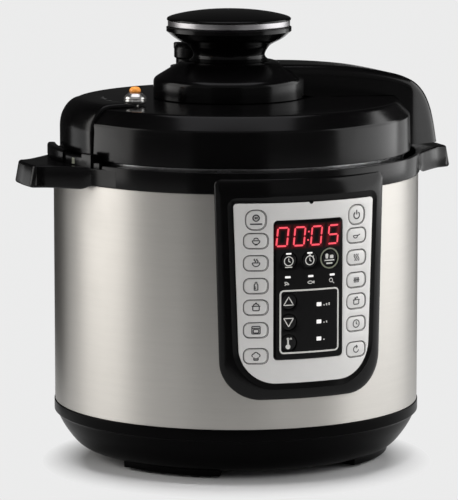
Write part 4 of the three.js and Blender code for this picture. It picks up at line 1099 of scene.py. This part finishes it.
class COOKER_OT_drip_cup(bpy.types.Operator):
    """Drip cup that slides out behind"""
    bl_idname = "cooker.drip_cup"
    bl_label = "Drip cup"

    def execute(self, context):
        y0 = box_mm("drip_cup")[0][1]
        z0, z1 = levels("drip_cup")
        rings = []
        for inset, z in ((1.0, z0), (0.3, z0 + 0.4), (0, z0 + 1.2), (0, 218.8), (-2.8, 218.9),
                         (-3.0, 219.2), (-3.0, 220.4), (-2.8, 220.7), (0, 220.8), (0, z1 - 0.4),
                         (0.4, z1), (1.3, z1), (1.7, z1 - 0.4), (1.7, z0 + 3), (2.6, z0 + 1.9),
                         (3.2, z0 + 1.7)):
            # the flange, a negative inset, reaches out across x only
            half, drawn_in = 26.4 - inset, max(inset, 0)
            corner = max(4 - drawn_in, 1)
            rings.append((rounded_rect(half, half, y0 + drawn_in, y0 + 18.4 - drawn_in, corner,
                                       corner, 6), z))
        build("drip_cup_tub", [stacked(rings)], "drip_cup_body", "drip_cup", "dark_plastic")
        return {"FINISHED"}


class COOKER_OT_panel(bpy.types.Operator):
    """Panel frame, silver face with its holes, and smoked display window"""
    bl_idname = "cooker.panel"
    bl_label = "Control panel"

    def execute(self, context):
        crest, front, glass = (front_radius(n) for n in ("panel_frame", "panel_overlay",
                                                         "display_window"))
        rings = [frame_ring(0, 0, 0, 145.95), frame_ring(0, 0, 0, 146.5),
                 frame_ring(0.2, 0.6, 0.3, 147.1), frame_ring(0.9, 1.8, 1.2, 147.7)]
        outer, start = rings[-1]
        crease = overlay_outline(4.6)
        for t in (0.25, 0.5, 0.75, 0.94, 1.0):
            rings.append((outer + (crease - outer) * t,
                          start + (crest - start) * (1 - (1 - t) ** 1.9)))
        rings += [(overlay_outline(by), radius) for by, radius in (
            (4.2, crest - 0.15), (1.2, crest - 1.0), (0.5, crest - 1.15), (0.35, front - 1.6),
            (0.3, R_SEAT))]
        build("panel_rim", [bent_plate(rings)], "base", "panel_frame", "black_plastic")
        holes = [window_outline(0.3)] + [key_outline(k, KEY_GAP) for k in SIDE_KEYS]
        face = perforated(overlay_outline(), holes, front - 1.4, front, 0.22)
        width = sizes().outline / MM
        lines = [stroke(key_outline(k, KEY_GAP + width / 2 + 0.1), width, front, 0.05, True)
                 for k in SIDE_KEYS]
        notch = [(3.2, 0.2), (2.6, -1.0), (1.4, -1.5), (0.2, -1.0), (-0.4, 0.2)]
        build("panel_face", {
            "silver_overlay": [face], "key_ink": lines,
            "black_plastic": [patch(np.array(notch) + (0, OVERLAY[1][2]), front, 0.06)]},
            "base", "panel_overlay", "silver_overlay")
        holes = [key_outline(k, KEY_GAP) for k in DISC_KEYS]
        build("display_glass", [perforated(window_outline(), holes, glass - 1.6, glass, 0.3)],
              "base", "display_window", "display_black")
        return {"FINISHED"}


class COOKER_OT_display(bpy.types.Operator):
    """Lit digits, small lamps and white marks of the display window"""
    bl_idname = "cooker.display"
    bl_label = "Display"

    def execute(self, context):
        glass = front_radius("display_window")
        top = WINDOW[1][2]
        lit = []
        for value, x in zip((0, 0, 0, 5), DIGIT_PLACES):
            lit += digit(value, x, top - DIGIT_DROP, glass)
        for drop in (9.0, 15.4):
            x = -1.1 + (DIGIT_DROP - drop) * DIGIT_LEAN
            lit.append(patch(circle(0.7, 12, (x, top - drop)), glass, 0.05))
        build("display_digits", {"digit_glow": lit}, "base", slot="display_black")
        lamps = [patch(pill(2.2, top - 44.1, top - 42.5, 0.5, x=x), glass, 0.06)
                 for x in (-17.6, 0.9, 19.2)]
        white = []
        for name, x in (("leaf", -17.6), ("fish", 0.9), ("joint", 19.0)):
            white += drawn(name, 5.6, (x, top - 48.0), 0.55, glass)
        white.append(stroke(pill(23.9, top - 101.8, top - 53.8, 2.8, 8, 0.5), 1.25, glass, 0.08,
                            True))
        for row, drop in enumerate((65.4, 78.8, 92.0)):
            z = top - drop
            lamps.append(patch(pill(2.0, z - 1.5, z + 1.5, 0.4, x=7.9), glass, 0.06))
            for k in range(3 - row):
                white.append(stroke(upright(12.2 + 2.2 * k, z - 1.3, z - 0.4 + 0.6 * k), 1.0,
                                    glass, 0.06))
        round_line = stroke(circle(7.5, 64, key_middle("mode_key_3")), 1.1, glass, 0.08, True)
        build("display_marks", {"lamp_glow": lamps, "white_ink": white, "ring_ink": [round_line]},
              "base", slot="display_black")
        return {"FINISHED"}


class COOKER_OT_keys(bpy.types.Operator):
    """Twenty push keys, each with its own mark"""
    bl_idname = "cooker.keys"
    bl_label = "Keys"

    def execute(self, context):
        for node, mark in zip(SIDE_KEYS, SIDE_MARKS):
            radius, ink, at = front_radius(node) - 0.12, 0.16, key_middle(node)
            size, width = (7.4, 0.95) if node in ROUND_KEYS else (6.6, 0.72)
            if node == "key_1":      # a smaller mark over a line
                marks = drawn(mark, size * 0.62, at + (0, 1.6), width, radius, ink)
                marks.append(stroke(level(-4.4, 4.4, -3.0) + at, 1.0, radius, ink))
            else:
                marks = drawn(mark, size, at, width, radius, ink)
            build(node + "_cap", {"silver_key": [self.cap(node, 0.25)], "key_ink": marks},
                  node + "_body", node, "silver_key")
        for node in DISC_KEYS:
            parts = {"dark_key": [self.cap(node, 0.12)], "white_ink": self.disc_marks(node)}
            if node in ("mode_key_1", "mode_key_2"):
                parts["lamp_glow"] = [patch(pill(2.1, 4.5, 5.7, 0.4) + key_middle(node),
                                            front_radius(node) - 0.16, 0.1)]
            build(node + "_cap", parts, node + "_body", node, "dark_key")
        return {"FINISHED"}

    def cap(self, node, bulge, edge=0.7, deep=1.9):
        """A key: straight sides, a rounded rim and a face that rises to its middle."""
        front, outline, centre = front_radius(node) - 0.1, key_outline(node), key_middle(node)
        rings = [(centre + (outline - centre) * f, front - deep) for f in (0.0, 0.5, 1.0)]
        rings += [(grown(outline, -edge * (1 - math.cos(t))),
                   front - bulge - edge * (1 - math.sin(t))) for t in QUARTER]
        rings += [(centre + (grown(outline, -edge) - centre) * f, front - bulge * f ** 2)
                  for f in (0.9, 0.75, 0.55, 0.3, 0.0)]
        return grid([wrapped(o, r) for o, r in rings], wrap_v=True)

    def disc_marks(self, node):
        """The white mark of a key in the display window."""
        radius, high, at = front_radius(node) - 0.16, 0.12, key_middle(node)

        def line(path, width, closed=False):
            return stroke(path + at, width, radius, high, closed)

        def blot(outline):
            return patch(outline + at, radius, high)

        if node == "adjust_key_1":
            return drawn("triangle", 7.6, at, 0.75, radius, high)
        if node == "adjust_key_2":
            down = np.array(MARKS["triangle"][1][0]) * (7.6, -7.6)
            return [line(spaced(down, 36, True), 0.75, True)]
        if node == "adjust_key_3":
            return [blot(circle(1.9, 24, (-0.4, -3.0))), line(upright(-0.4, -2.0, 2.4), 1.3),
                    line(circle(0.75, 14, (-0.4, 3.0)), 0.6, True),
                    line(circle(0.55, 12, (1.9, 3.2)), 0.4, True)]
        if node == "mode_key_3":
            return [line(level(-4.2, 4.2, -1.6), 0.9), line(level(-2.6, 2.6, -3.9), 1.1),
                    blot(rounded_rect(1.3, 1.0, -0.2, 3.6, 1.1, 0.3, 5) + (-2.2, 0)),
                    blot(rounded_rect(1.5, 1.5, -0.2, 2.4, 0.6, 0.3, 5) + (2.0, 0))]
        clock = drawn("clock", 7.8, at + (0, -0.6), 0.7, radius, high)
        if node == "mode_key_1":
            return clock + [line(level(-2.8, 2.8, -5.2), 0.8)]
        return clock + [line(upright(0, 2.9, 4.0), 1.6), line([(2.6, 2.2), (3.2, 2.8)], 0.9)]


class COOKER_OT_lid(bpy.types.Operator):
    """Outer lid, a round shell with a slanting shoulder"""
    bl_idname = "cooker.lid"
    bl_label = "Lid"

    def execute(self, context):
        (z0, z1), r = levels("lid_cover"), reach("lid_cover")
        shell = lathe([
            (0, z1), (60, z1), (r - 12.2, z1 - 1.8), (r - 10.0, z1 - 2.7), (r - 0.8, z1 - 13.3),
            (r, z0), (r - 2.4, z0), (r - 3.2, z1 - 14.5), (r - 14.8, z1 - 4.2), (60, z1 - 2.4),
            (0, z1 - 2.4)], [0, 30, 1.4, 2.4, 1.3, 0.7, 0.7, 1, 1, 20, 0], 7)
        build("lid_shell", [shell], "lid", "lid_cover", "black_plastic")
        return {"FINISHED"}


LID_GAP = 0.3                # between the lid and what lies on it


class COOKER_OT_arm(bpy.types.Operator):
    """Round platform under the knob, and the arm that runs from it down the lid's side"""
    bl_idname = "cooker.arm"
    bl_label = "Lid arm"

    def execute(self, context):
        low, high = box_mm("lid_arm")
        wing = high[0] - AXIS[0]
        lid_top, r = levels("lid_cover")[1] + LID_GAP, reach("lid_cover") + LID_GAP
        table = lathe([(0, high[2]), (37, high[2]), (45, 308.6), (58.4, 300.4), (60, 298.2),
                       (60, lid_top), (0, lid_top)], [0, 3, 8, 1.6, 1.6, 0.3, 0], 7, KNOB_AXIS,
                      160)
        well = lathe([(0.5, 303.0), (14.0, 303.0), (14.0, 306.6), (15.6, 306.2), (15.6, 300.5),
                      (0.5, 300.5)], 0.8, 5, valve_axis(), 64)
        build("lid_platform", [table, well], "lid", slot="black_plastic")
        top = spline([(30, 310.7), (59, 309.4), (81.5, 307.6), (104, 304.8), (wing - 42, 300.2),
                      (wing - 30, 296.2), (wing - 20.5, 290.8), (wing - 12.5, 282.4),
                      (wing - 6.7, 271), (wing - 3, 258), (wing, low[2])])
        under = spline([(30, lid_top + 12), (59, lid_top), (81.5, lid_top - 0.6),
                        (104, lid_top - 1.3), (r - 14.5, lid_top - 1.7), (r - 9.4, lid_top - 3.2),
                        (r - 4.6, lid_top - 8.2), (r - 0.7, lid_top - 13.2), (r - 0.3, 262),
                        (r - 0.1, 252), (r, low[2])])
        build("lid_side_arm", [saddle(top, under, 27.0, 6.5, draw=0.33)], "lid", "lid_arm",
              "black_plastic")
        return {"FINISHED"}


class COOKER_OT_bracket(bpy.types.Operator):
    """Bracket that hugs the lid opposite the arm"""
    bl_idname = "cooker.bracket"
    bl_label = "Lid bracket"

    def execute(self, context):
        low, high = box_mm("lid_bracket")
        r, rim = reach("lid_cover") + LID_GAP, AXIS[0] - low[0]
        top = spline([(104, 284.7), (109, 286.1), (116, high[2]), (126.5, 285.8),
                      (133.5, 281.6), (138.3, 274.5), (rim - 0.2, 267), (rim, 258),
                      (rim, low[2])])
        under = spline([(104, 284.0), (109, 283.7), (116, 283.5), (r - 14.5, 283.2),
                        (r - 9.4, 280.9), (r - 4.6, 275.0), (r - 0.7, 268.6), (r - 0.3, 258),
                        (r, low[2])])
        block = saddle(top, under, (high[1] - low[1]) / 2, 2.4, side=-1, round_top=True)
        build("bracket_block", [block], "lid", "lid_bracket", "black_plastic")
        return {"FINISHED"}


class COOKER_OT_knob(bpy.types.Operator):
    """Mushroom knob: waisted neck, bright band and domed cap"""
    bl_idname = "cooker.knob"
    bl_label = "Knob"

    def execute(self, context):
        low, rim = levels("knob_body")[0], reach("knob_band")
        z0, z1 = levels("knob_band")
        z0 -= 0.3
        outer = spline([(29.2, low + 2.4), (28.5, low + 5.0), (30.5, low + 9.1),
                        (34, low + 12.8), (43, low + 17.7), (rim + 0.4, low + 23.3)])
        neck = np.vstack([[(25.5, low), (32.0, low), (31.2, low + 0.7)], outer,
                          [(rim + 0.4, z0 - 0.5), (rim - 0.3, z0), (44.5, z0),
                           (44.5, z0 + 4.5), (42, z0 + 4.5), (42, z0 - 2),
                           (32, z0 - 9), (25.5, z0 - 18)]])
        build("knob_neck", [revolve(neck, KNOB_AXIS, 160)], "lid", "knob_body", "black_plastic")
        r = rim - 0.8
        band = lathe([(rim - 5.4, z0 + 0.3), (r - 0.5, z0 + 0.3), (r, z0 + 1.1), (r, z1 - 0.5),
                      (r - 0.5, z1), (rim - 5.4, z1)], 0.35, 5, KNOB_AXIS, 200)
        build("knob_ring", [band], "lid", "knob_band", "chrome")
        z2 = levels("knob_cap")[1] - 1.1
        dome = spline([(0, z2), (12, z2 - 0.3), (24, z2 - 1.25), (35, z2 - 2.8),
                       (43, z2 - 4.5), (46.8, z1 + 1.0), (rim - 0.6, z1 + 0.1),
                       (rim, z1 - 0.8)], 7)
        cap = np.vstack([dome, [(rim - 0.1, z1 - 1.6), (rim - 0.6, z1 - 1.9),
                                (rim - 1.2, z1 - 1.6), (rim - 1.6, z1 + 0.05),
                                (41.4, z1 + 0.05), (41.4, z1 - 5.6), (39.4, z1 - 5.6),
                                (39.4, z1 - 1.5), (0, z1 - 1.5)]])
        build("knob_dome", [revolve(cap, KNOB_AXIS, 160)], "lid", "knob_cap", "black_plastic")
        return {"FINISHED"}


def valve_axis():
    """The upright axis of the steam valve, from its joint."""
    for joint in frame["joints"]:
        if joint["name"] == "steam_valve_turn":
            return np.array(joint["pos_m"][:2]) / MM
    raise RuntimeError("the steam valve has no joint")


class COOKER_OT_valves(bpy.types.Operator):
    """Steam valve with its lever, and the float valve with its coloured cap"""
    bl_idname = "cooker.valves"
    bl_label = "Valves"

    def execute(self, context):
        at, (low, high) = valve_axis(), levels("steam_valve")
        head = lathe([
            (0, low), (3.8, low), (3.8, 304), (11, 304), (11, 312), (12.5, 313),
            (12.5, high - 4.5), (10.2, high - 1.2), (7, high), (0, high)],
            [0, 0.5, 0.3, 1, 0.6, 0.6, 1.6, 1.6, 1.5, 0], 6, at, 96)
        away = math.atan2(*(at - KNOB_AXIS)[::-1])
        turn = np.array([[math.sin(away), math.cos(away)], [-math.cos(away), math.sin(away)]])
        bar = rounded_rect(3.2, 2.6, 0, 16.6, 2.0, 1.0, 8) @ turn.T + at
        lever = edged(bar, high - 6.5, high - 1.0, 1.2)
        build("steam_valve_head", {"knob_plastic": [head, lever]}, "steam_valve_body",
              "steam_valve", "black_plastic")
        at, (z0, z1), foot = middle("float_cap"), levels("float_cap"), levels("float_valve")[0]
        seat = z0 - 9.1
        pin = lathe([
            (0, foot), (3.4, foot), (3.4, seat), (7.4, seat), (8.7, seat + 1.4),
            (9.0, seat + 3.2), (8.3, seat + 3.6), (8.3, seat + 4.1), (9.0, seat + 4.5),
            (8.0, seat + 6.4), (5.6, seat + 8.4), (4.4, seat + 9.0), (0, seat + 9.0)],
            0.5, 5, at, 72)
        build("float_pin", {"satin_steel": [pin]}, "float", "float_valve", "pressed_steel")
        top = lathe([(0, z0), (4.6, z0), (4.5, z0 + 2.2), (3.0, z1 - 0.4), (0, z1)], 1.2, 5, at,
                    64)
        build("float_top", [top], "float", "float_cap", "orange_plastic")
        return {"FINISHED"}


class COOKER_OT_pot(bpy.types.Operator):
    """Lift-out pot with a rolled rim and level lines"""
    bl_idname = "cooker.pot"
    bl_label = "Pot"

    def execute(self, context):
        (z0, z1), rim = levels("inner_pot"), reach("inner_pot")
        r = rim - 5.1
        pot = lathe([(0, z0), (r - 15, z0), (r - 5, z0 + 3.2), (r, z0 + 12), (r, z1 - 1.4),
                     (rim, z1 - 1.4), (rim, z1), (r - 1.4, z1), (r - 1.4, z0 + 12.5),
                     (r - 5.9, z0 + 4.4), (r - 15.3, z0 + 1.7), (0, z0 + 1.7)],
                    [0, 6, 6, 8, 0.4, 0.6, 0.6, 1.6, 8, 5, 6, 0], 8, None, 192)
        lines = []
        for k in range(6):
            z, wide = z0 + 40 + 20 * k, 8 + 6 * (k % 2)
            lines.append(ring(r - 1.47, r - 1.35, z, z + 0.7, 0, 2, 16, 160 - wide / 2, wide))
        build("pot", {"pot_coating": [pot], "white_ink": lines}, "pot", "inner_pot",
              "pot_coating")
        return {"FINISHED"}


class COOKER_OT_inside(bpy.types.Operator):
    """Steel parts seen with the lid off: heater bowl, locking ring, heating plate and sensor"""
    bl_idname = "cooker.inside"
    bl_label = "Inside steel"

    def execute(self, context):
        (z0, z1), r, flange = levels("inner_housing"), 117.7, reach("inner_housing")
        bowl = lathe([
            (58, z0), (r - 6, z0), (r, z0 + 6), (r, z1 - 1.2), (flange, z1 - 1.2), (flange, z1),
            (r - 1.2, z1), (r - 1.2, z0 + 6.5), (r - 6.5, z0 + 1.2), (58, z0 + 1.2)],
            [0.3, 4, 4, 1.4, 0.4, 0.4, 1.4, 3.5, 3.5, 0.3])
        build("heater_bowl", [bowl], "base", "inner_housing", "pressed_steel")
        z0, z1 = levels("locking_ring")
        band = ring(118, 125, z0, z1, 0.8, 5, sizes().facets)
        teeth = ring_teeth(124.4, 129.6, z0 + 0.1, z1 - 0.1, 30.0)
        build("bayonet_ring", [band, *teeth], "base", "locking_ring", "pressed_steel")
        (z0, z1), r = levels("heating_plate"), reach("heating_plate")
        profile = [(19.5, z1 - 8.9), (r, z1 - 8.9), (r, z1 - 1.5), (r - 3, z1)]
        for groove in range(5):
            at = r - 10 - 13 * groove
            profile += [(at, z1), (at - 0.7, z1 - 0.5), (at - 1.4, z1)]
        leg = ring(72, 76, z0, z1 - 8.5, 0.4, 4, 128)
        build("heater_plate", [lathe(profile + [(19.5, z1)], 0.6), leg], "base",
              "heating_plate", "aluminium")
        (z0, z1), r = levels("sensor_button"), reach("sensor_button")
        cap = lathe([(0, z1), (r - 5, z1), (r - 1, z1 - 0.9), (r, z1 - 2.4), (r, z0),
                     (r - 1.2, z0), (r - 1.2, z1 - 2.4), (0, z1 - 2.0)], 0.8, 5, None, 96)
        build("sensor_cap", [cap], "sensor", "sensor_button", "aluminium")
        low, high = box_mm("sensor_spring")
        coil = helix(middle("sensor_spring"), reach("sensor_spring"), low[2], high[2], 0.8, 5)
        spring = build("sensor_coil", [coil], "base", "sensor_spring", "pressed_steel")
        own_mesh(spring)
        return {"FINISHED"}


class COOKER_OT_seal(bpy.types.Operator):
    """Inner cover with its silicone ring, and the steel pressure lid with its teeth"""
    bl_idname = "cooker.seal"
    bl_label = "Sealing parts"

    def execute(self, context):
        r0, r1, (z0, z1), t = 112.0, reach("sealing_ring"), levels("sealing_ring"), 1.8
        rib = r1 - t - 1.4
        seal = lathe([(r0, z0), (r1, z0), (r1, z1), (r0, z1), (r0, z1 - t), (rib, z1 - t),
                      (rib, z0 + t), (r0, z0 + t)], 0.7)
        build("silicone_ring", [seal], "seal", "sealing_ring", "silicone")
        edge, (lip, top) = reach("sealing_cover"), levels("sealing_cover")
        cover = lathe([
            (5.2, top - 2.0), (70, top - 2.0), (102.6, lip), (edge, lip), (edge, lip + 2.2),
            (103.6, lip + 2.2), (70.8, top), (5.2, top)], [0.3, 8, 4, 0.6, 0.6, 4, 8, 0.3], 6)
        build("inner_cover", [cover], "seal", "sealing_cover", "aluminium")
        r, (z0, top), press = reach("lid_plate"), levels("lid_plate"), 245.8
        pin = lathe([(0, 246.4), (6.2, 246.4), (6.2, 249.6), (4.4, 249.6), (4.4, top - 1),
                     (0, top - 1)], [0, 1.0, 0.6, 0.4, 0.3, 0], 5, None, 64)
        plate = lathe([
            (0, top - 2.2), (60, top - 3.2), (98, 255.4), (104.6, press), (r - 1.2, press),
            (r - 1.2, z0), (r, z0), (r, press + 0.8), (r - 1.6, press + 2.2), (106, press + 2.2),
            (99, 257.4), (60.4, top - 1), (0, top)],
            [0, 25, 4, 3, 1.2, 0.3, 0.3, 1.2, 1.2, 3, 4, 25, 0], 7)
        teeth = ring_teeth(126.4, r - 0.6, z0, z0 + 2.7, 0.0, 0.4)
        build("pressure_lid", [plate, pin, *teeth], "lid", "lid_plate", "pressed_steel")
        return {"FINISHED"}


class COOKER_OT_carried(bpy.types.Operator):
    """Finish every CAD node that is still shown"""
    bl_idname = "cooker.carried"
    bl_label = "Carried-over nodes"

    def execute(self, context):
        for part in frame["record"]["subparts"]:
            node = frame["nodes"][part["node"]]
            made = finish(part["material_slot"])
            if not node.material_slots:
                node.data.materials.append(made)
            for slot in node.material_slots:
                slot.material = made
        return {"FINISHED"}


LAMP_AIM = 0.17              # height that the lamps point at, in metres
AIM_ASIDE = -0.0055          # how far beside the upright axis the camera looks, in metres
FLOOR_TONE = 0.76            # the floor's own grey, as a share of the backdrop's
# The floor is real inside a circle, in millimetres: how far it lies towards the camera, its
# radius, and the width of the rim over which it turns into the backdrop. Mirrored rays see the
# backdrop too, up to a distance from the axis and over a rim of its own.
POOL_AHEAD, POOL_RADIUS, POOL_RIM = 42.0, 119.0, 35.0
MIRROR_END, MIRROR_RIM = 640.0, 160.0


def on_table(aside, behind, z):
    """A point in metres from its places to the right and behind, as the camera sees them."""
    turn = studio().turn
    return Vector((AXIS[0] * MM + math.cos(turn) * aside - math.sin(turn) * behind,
                   AXIS[1] * MM + math.sin(turn) * aside + math.cos(turn) * behind, z))


def pointed(thing, way):
    """Turn a lamp or camera to look along a direction."""
    thing.rotation_mode = "QUATERNION"
    thing.rotation_quaternion = way.to_track_quat("-Z", "Y")


class COOKER_OT_studio(bpy.types.Operator):
    """Floor, room, lamps and camera"""
    bl_idname = "cooker.studio"
    bl_label = "Studio"

    def execute(self, context):
        s, scene = studio(), context.scene
        self.floor(s.turn, s.backdrop)
        self.room(s)
        self.lamp("left_softbox", -88, 12, 1.5, 1.1, 1.5, 14, (1.0, 0.98, 0.955))
        self.lamp("right_softbox", 98, 12, 1.5, 1.8, 1.5, 22)
        self.lamp("top_softbox", 0, 88, 1.6, 1.4, 1.1, 7, (0.97, 0.96, 1.0))
        self.flag("left_flag", (-0.26, 0.07), (-0.28, 1.0))
        self.flag("front_flag", (-0.19, -0.42), (0.13, -0.42), 0.42, 0.1)
        self.flag("right_flag", (0.28, 0.3), (0.31, 1.3))
        self.lamp("top_fill", 0, 88, 1.7, 0.7, 0.7, 22).visible_glossy = False
        self.lamp("front_fill", 10, 30, 2.4, 1.4, 1.0, 10).visible_glossy = False
        data = bpy.data.cameras.new("camera")
        data.lens, data.sensor_width = s.lens, 36.0
        data.clip_start, data.clip_end = 0.05, 60
        scene.camera = linked("camera", data)
        scene.camera.location = on_table(0, -s.distance, s.height)
        pointed(scene.camera, on_table(AIM_ASIDE, 0, s.aim) - scene.camera.location)
        scene.view_settings.view_transform = "Standard"
        return {"FINISHED"}

    def lamp(self, name, turn, lift, distance, wide, high, power, colour=(1, 1, 1)):
        """A soft lamp at a turn from the camera's side and a lift, pointed at the cooker."""
        a, e = studio().turn + math.radians(turn), math.radians(lift)
        way = Vector((math.sin(a) * math.cos(e), -math.cos(a) * math.cos(e), math.sin(e)))
        data = bpy.data.lights.new(name, "AREA")
        data.shape, data.size, data.size_y = "RECTANGLE", wide, high
        data.energy, data.color = power, colour
        lamp = linked(name, data)
        lamp.location = on_table(0, 0, LAMP_AIM) + way * distance
        pointed(lamp, -way)
        return lamp

    def flag(self, name, first, last, high=0.7, grey=0.004):
        """A dark screen for the reflections only, given by its ends (to the right, behind)."""
        mesh = mesh_of(name, grid([[on_table(*end, z) for z in (0.005, high)]
                                   for end in (first, last)]))
        mesh.materials.append(Finish(name, (grey, grey, grey), 1.0).material)
        piece = linked(name, mesh)
        piece.visible_camera = piece.visible_shadow = piece.visible_diffuse = False

    def floor(self, turn, grey):
        """A wide disc: real pale floor round the cooker, running out into the backdrop's tone."""
        radii = np.concatenate([np.linspace(0, 1, 24) ** 1.5 * 1.2, [2.0, 4.0, 8.0, 14.0]])
        a = np.linspace(0, 2 * np.pi, 96, endpoint=False)
        mesh = mesh_of("studio_floor", grid(
            np.stack([np.outer(radii, np.cos(a)), np.outer(radii, np.sin(a)),
                      np.zeros((len(radii), len(a)))], -1), wrap_v=True))
        mesh.validate()
        f = Finish("studio_floor", (0.8, 0.8, 0.8), 0.9, Specular_IOR_Level=0.0)
        f.feed("Base Color", (*shaded((grey, grey, grey), FLOOR_TONE), 1.0))
        glow = f.node("ShaderNodeEmission", {}, {
            "Color": (grey, grey * 1.001, grey * 1.001, 1)})
        x, y, _ = f.axes()
        near = x * math.sin(turn) - y * math.cos(turn)      # towards the camera
        ahead = near - POOL_AHEAD
        aside = x * math.cos(turn) + y * math.sin(turn)
        away = ((ahead * ahead + aside * aside) ** 0.5 - POOL_RADIUS) / POOL_RIM
        behind = ((MIRROR_END - near) / MIRROR_RIM).held()
        rays = f.outputs("ShaderNodeLightPath")
        mirrored = (rays["Is Glossy Ray"] + rays["Is Transmission Ray"]).held()
        seen = (rays["Is Camera Ray"] + mirrored * behind).held()
        surface = Signal(f, f.shader.outputs[0])
        mixed = f.node("ShaderNodeMixShader", {}, [away.held() * seen, surface, glow])
        f.put(mixed, f.tree.nodes["Material Output"].inputs[0])
        mesh.materials.append(f.material)
        linked("studio_floor", mesh)

    def room(self, settings):
        """A dim room: dark behind the cooker and paler behind the camera."""
        world = bpy.data.worlds.new("studio_room")
        bpy.context.scene.world = world
        n = Nodes(world)
        way = n.node("ShaderNodeTexCoord", output="Generated")
        camera_side = (math.sin(settings.turn), -math.cos(settings.turn), 0.0)
        front = n.node("ShaderNodeVectorMath", {"operation": "DOT_PRODUCT"}, [way, camera_side],
                       "Value")
        tone = n.node("ShaderNodeMapRange", {}, {
            "Value": front, "From Min": -0.2, "From Max": 0.9, "To Min": settings.room,
            "To Max": settings.room_front})
        n.put(tone, n.tree.nodes["Background"].inputs["Color"])


OPERATORS = (COOKER_OT_base, COOKER_OT_shell, COOKER_OT_collar, COOKER_OT_drip_cup,
             COOKER_OT_panel, COOKER_OT_display, COOKER_OT_keys, COOKER_OT_lid, COOKER_OT_arm,
             COOKER_OT_bracket, COOKER_OT_knob, COOKER_OT_valves, COOKER_OT_pot,
             COOKER_OT_inside, COOKER_OT_seal, COOKER_OT_carried, COOKER_OT_studio)


class COOKER_PT_main(bpy.types.Panel):
    """Lists the settings and the steps in order"""
    bl_idname = "COOKER_PT_main"
    bl_label = "Pressure cooker"
    bl_space_type = "VIEW_3D"
    bl_region_type = "UI"
    bl_category = "Cooker"

    def draw(self, context):
        for group in (colours(), sizes(), studio()):
            box = self.layout.box()
            for key in group.__annotations__:
                box.prop(group, key)
        for operator in OPERATORS:
            self.layout.operator(operator.bl_idname)


CLASSES = (CookerColours, CookerSizes, CookerStudio, *OPERATORS, COOKER_PT_main)


def register():
    for made in CLASSES:
        bpy.utils.register_class(made)
    bpy.types.Scene.cooker_colours = PointerProperty(type=CookerColours)
    bpy.types.Scene.cooker_sizes = PointerProperty(type=CookerSizes)
    bpy.types.Scene.cooker_studio = PointerProperty(type=CookerStudio)


def unregister():
    del bpy.types.Scene.cooker_colours
    del bpy.types.Scene.cooker_sizes
    del bpy.types.Scene.cooker_studio
    for made in reversed(CLASSES):
        bpy.utils.unregister_class(made)


def main():
    """Build everything in order."""
    register()
    for operator in OPERATORS:
        step = getattr(bpy.ops.cooker, operator.bl_idname.split(".")[1])
        if step() != {"FINISHED"}:
            raise RuntimeError(operator.bl_label + " didn't finish")
    bpy.context.view_layer.update()


if __name__ == "__main__":
    main()
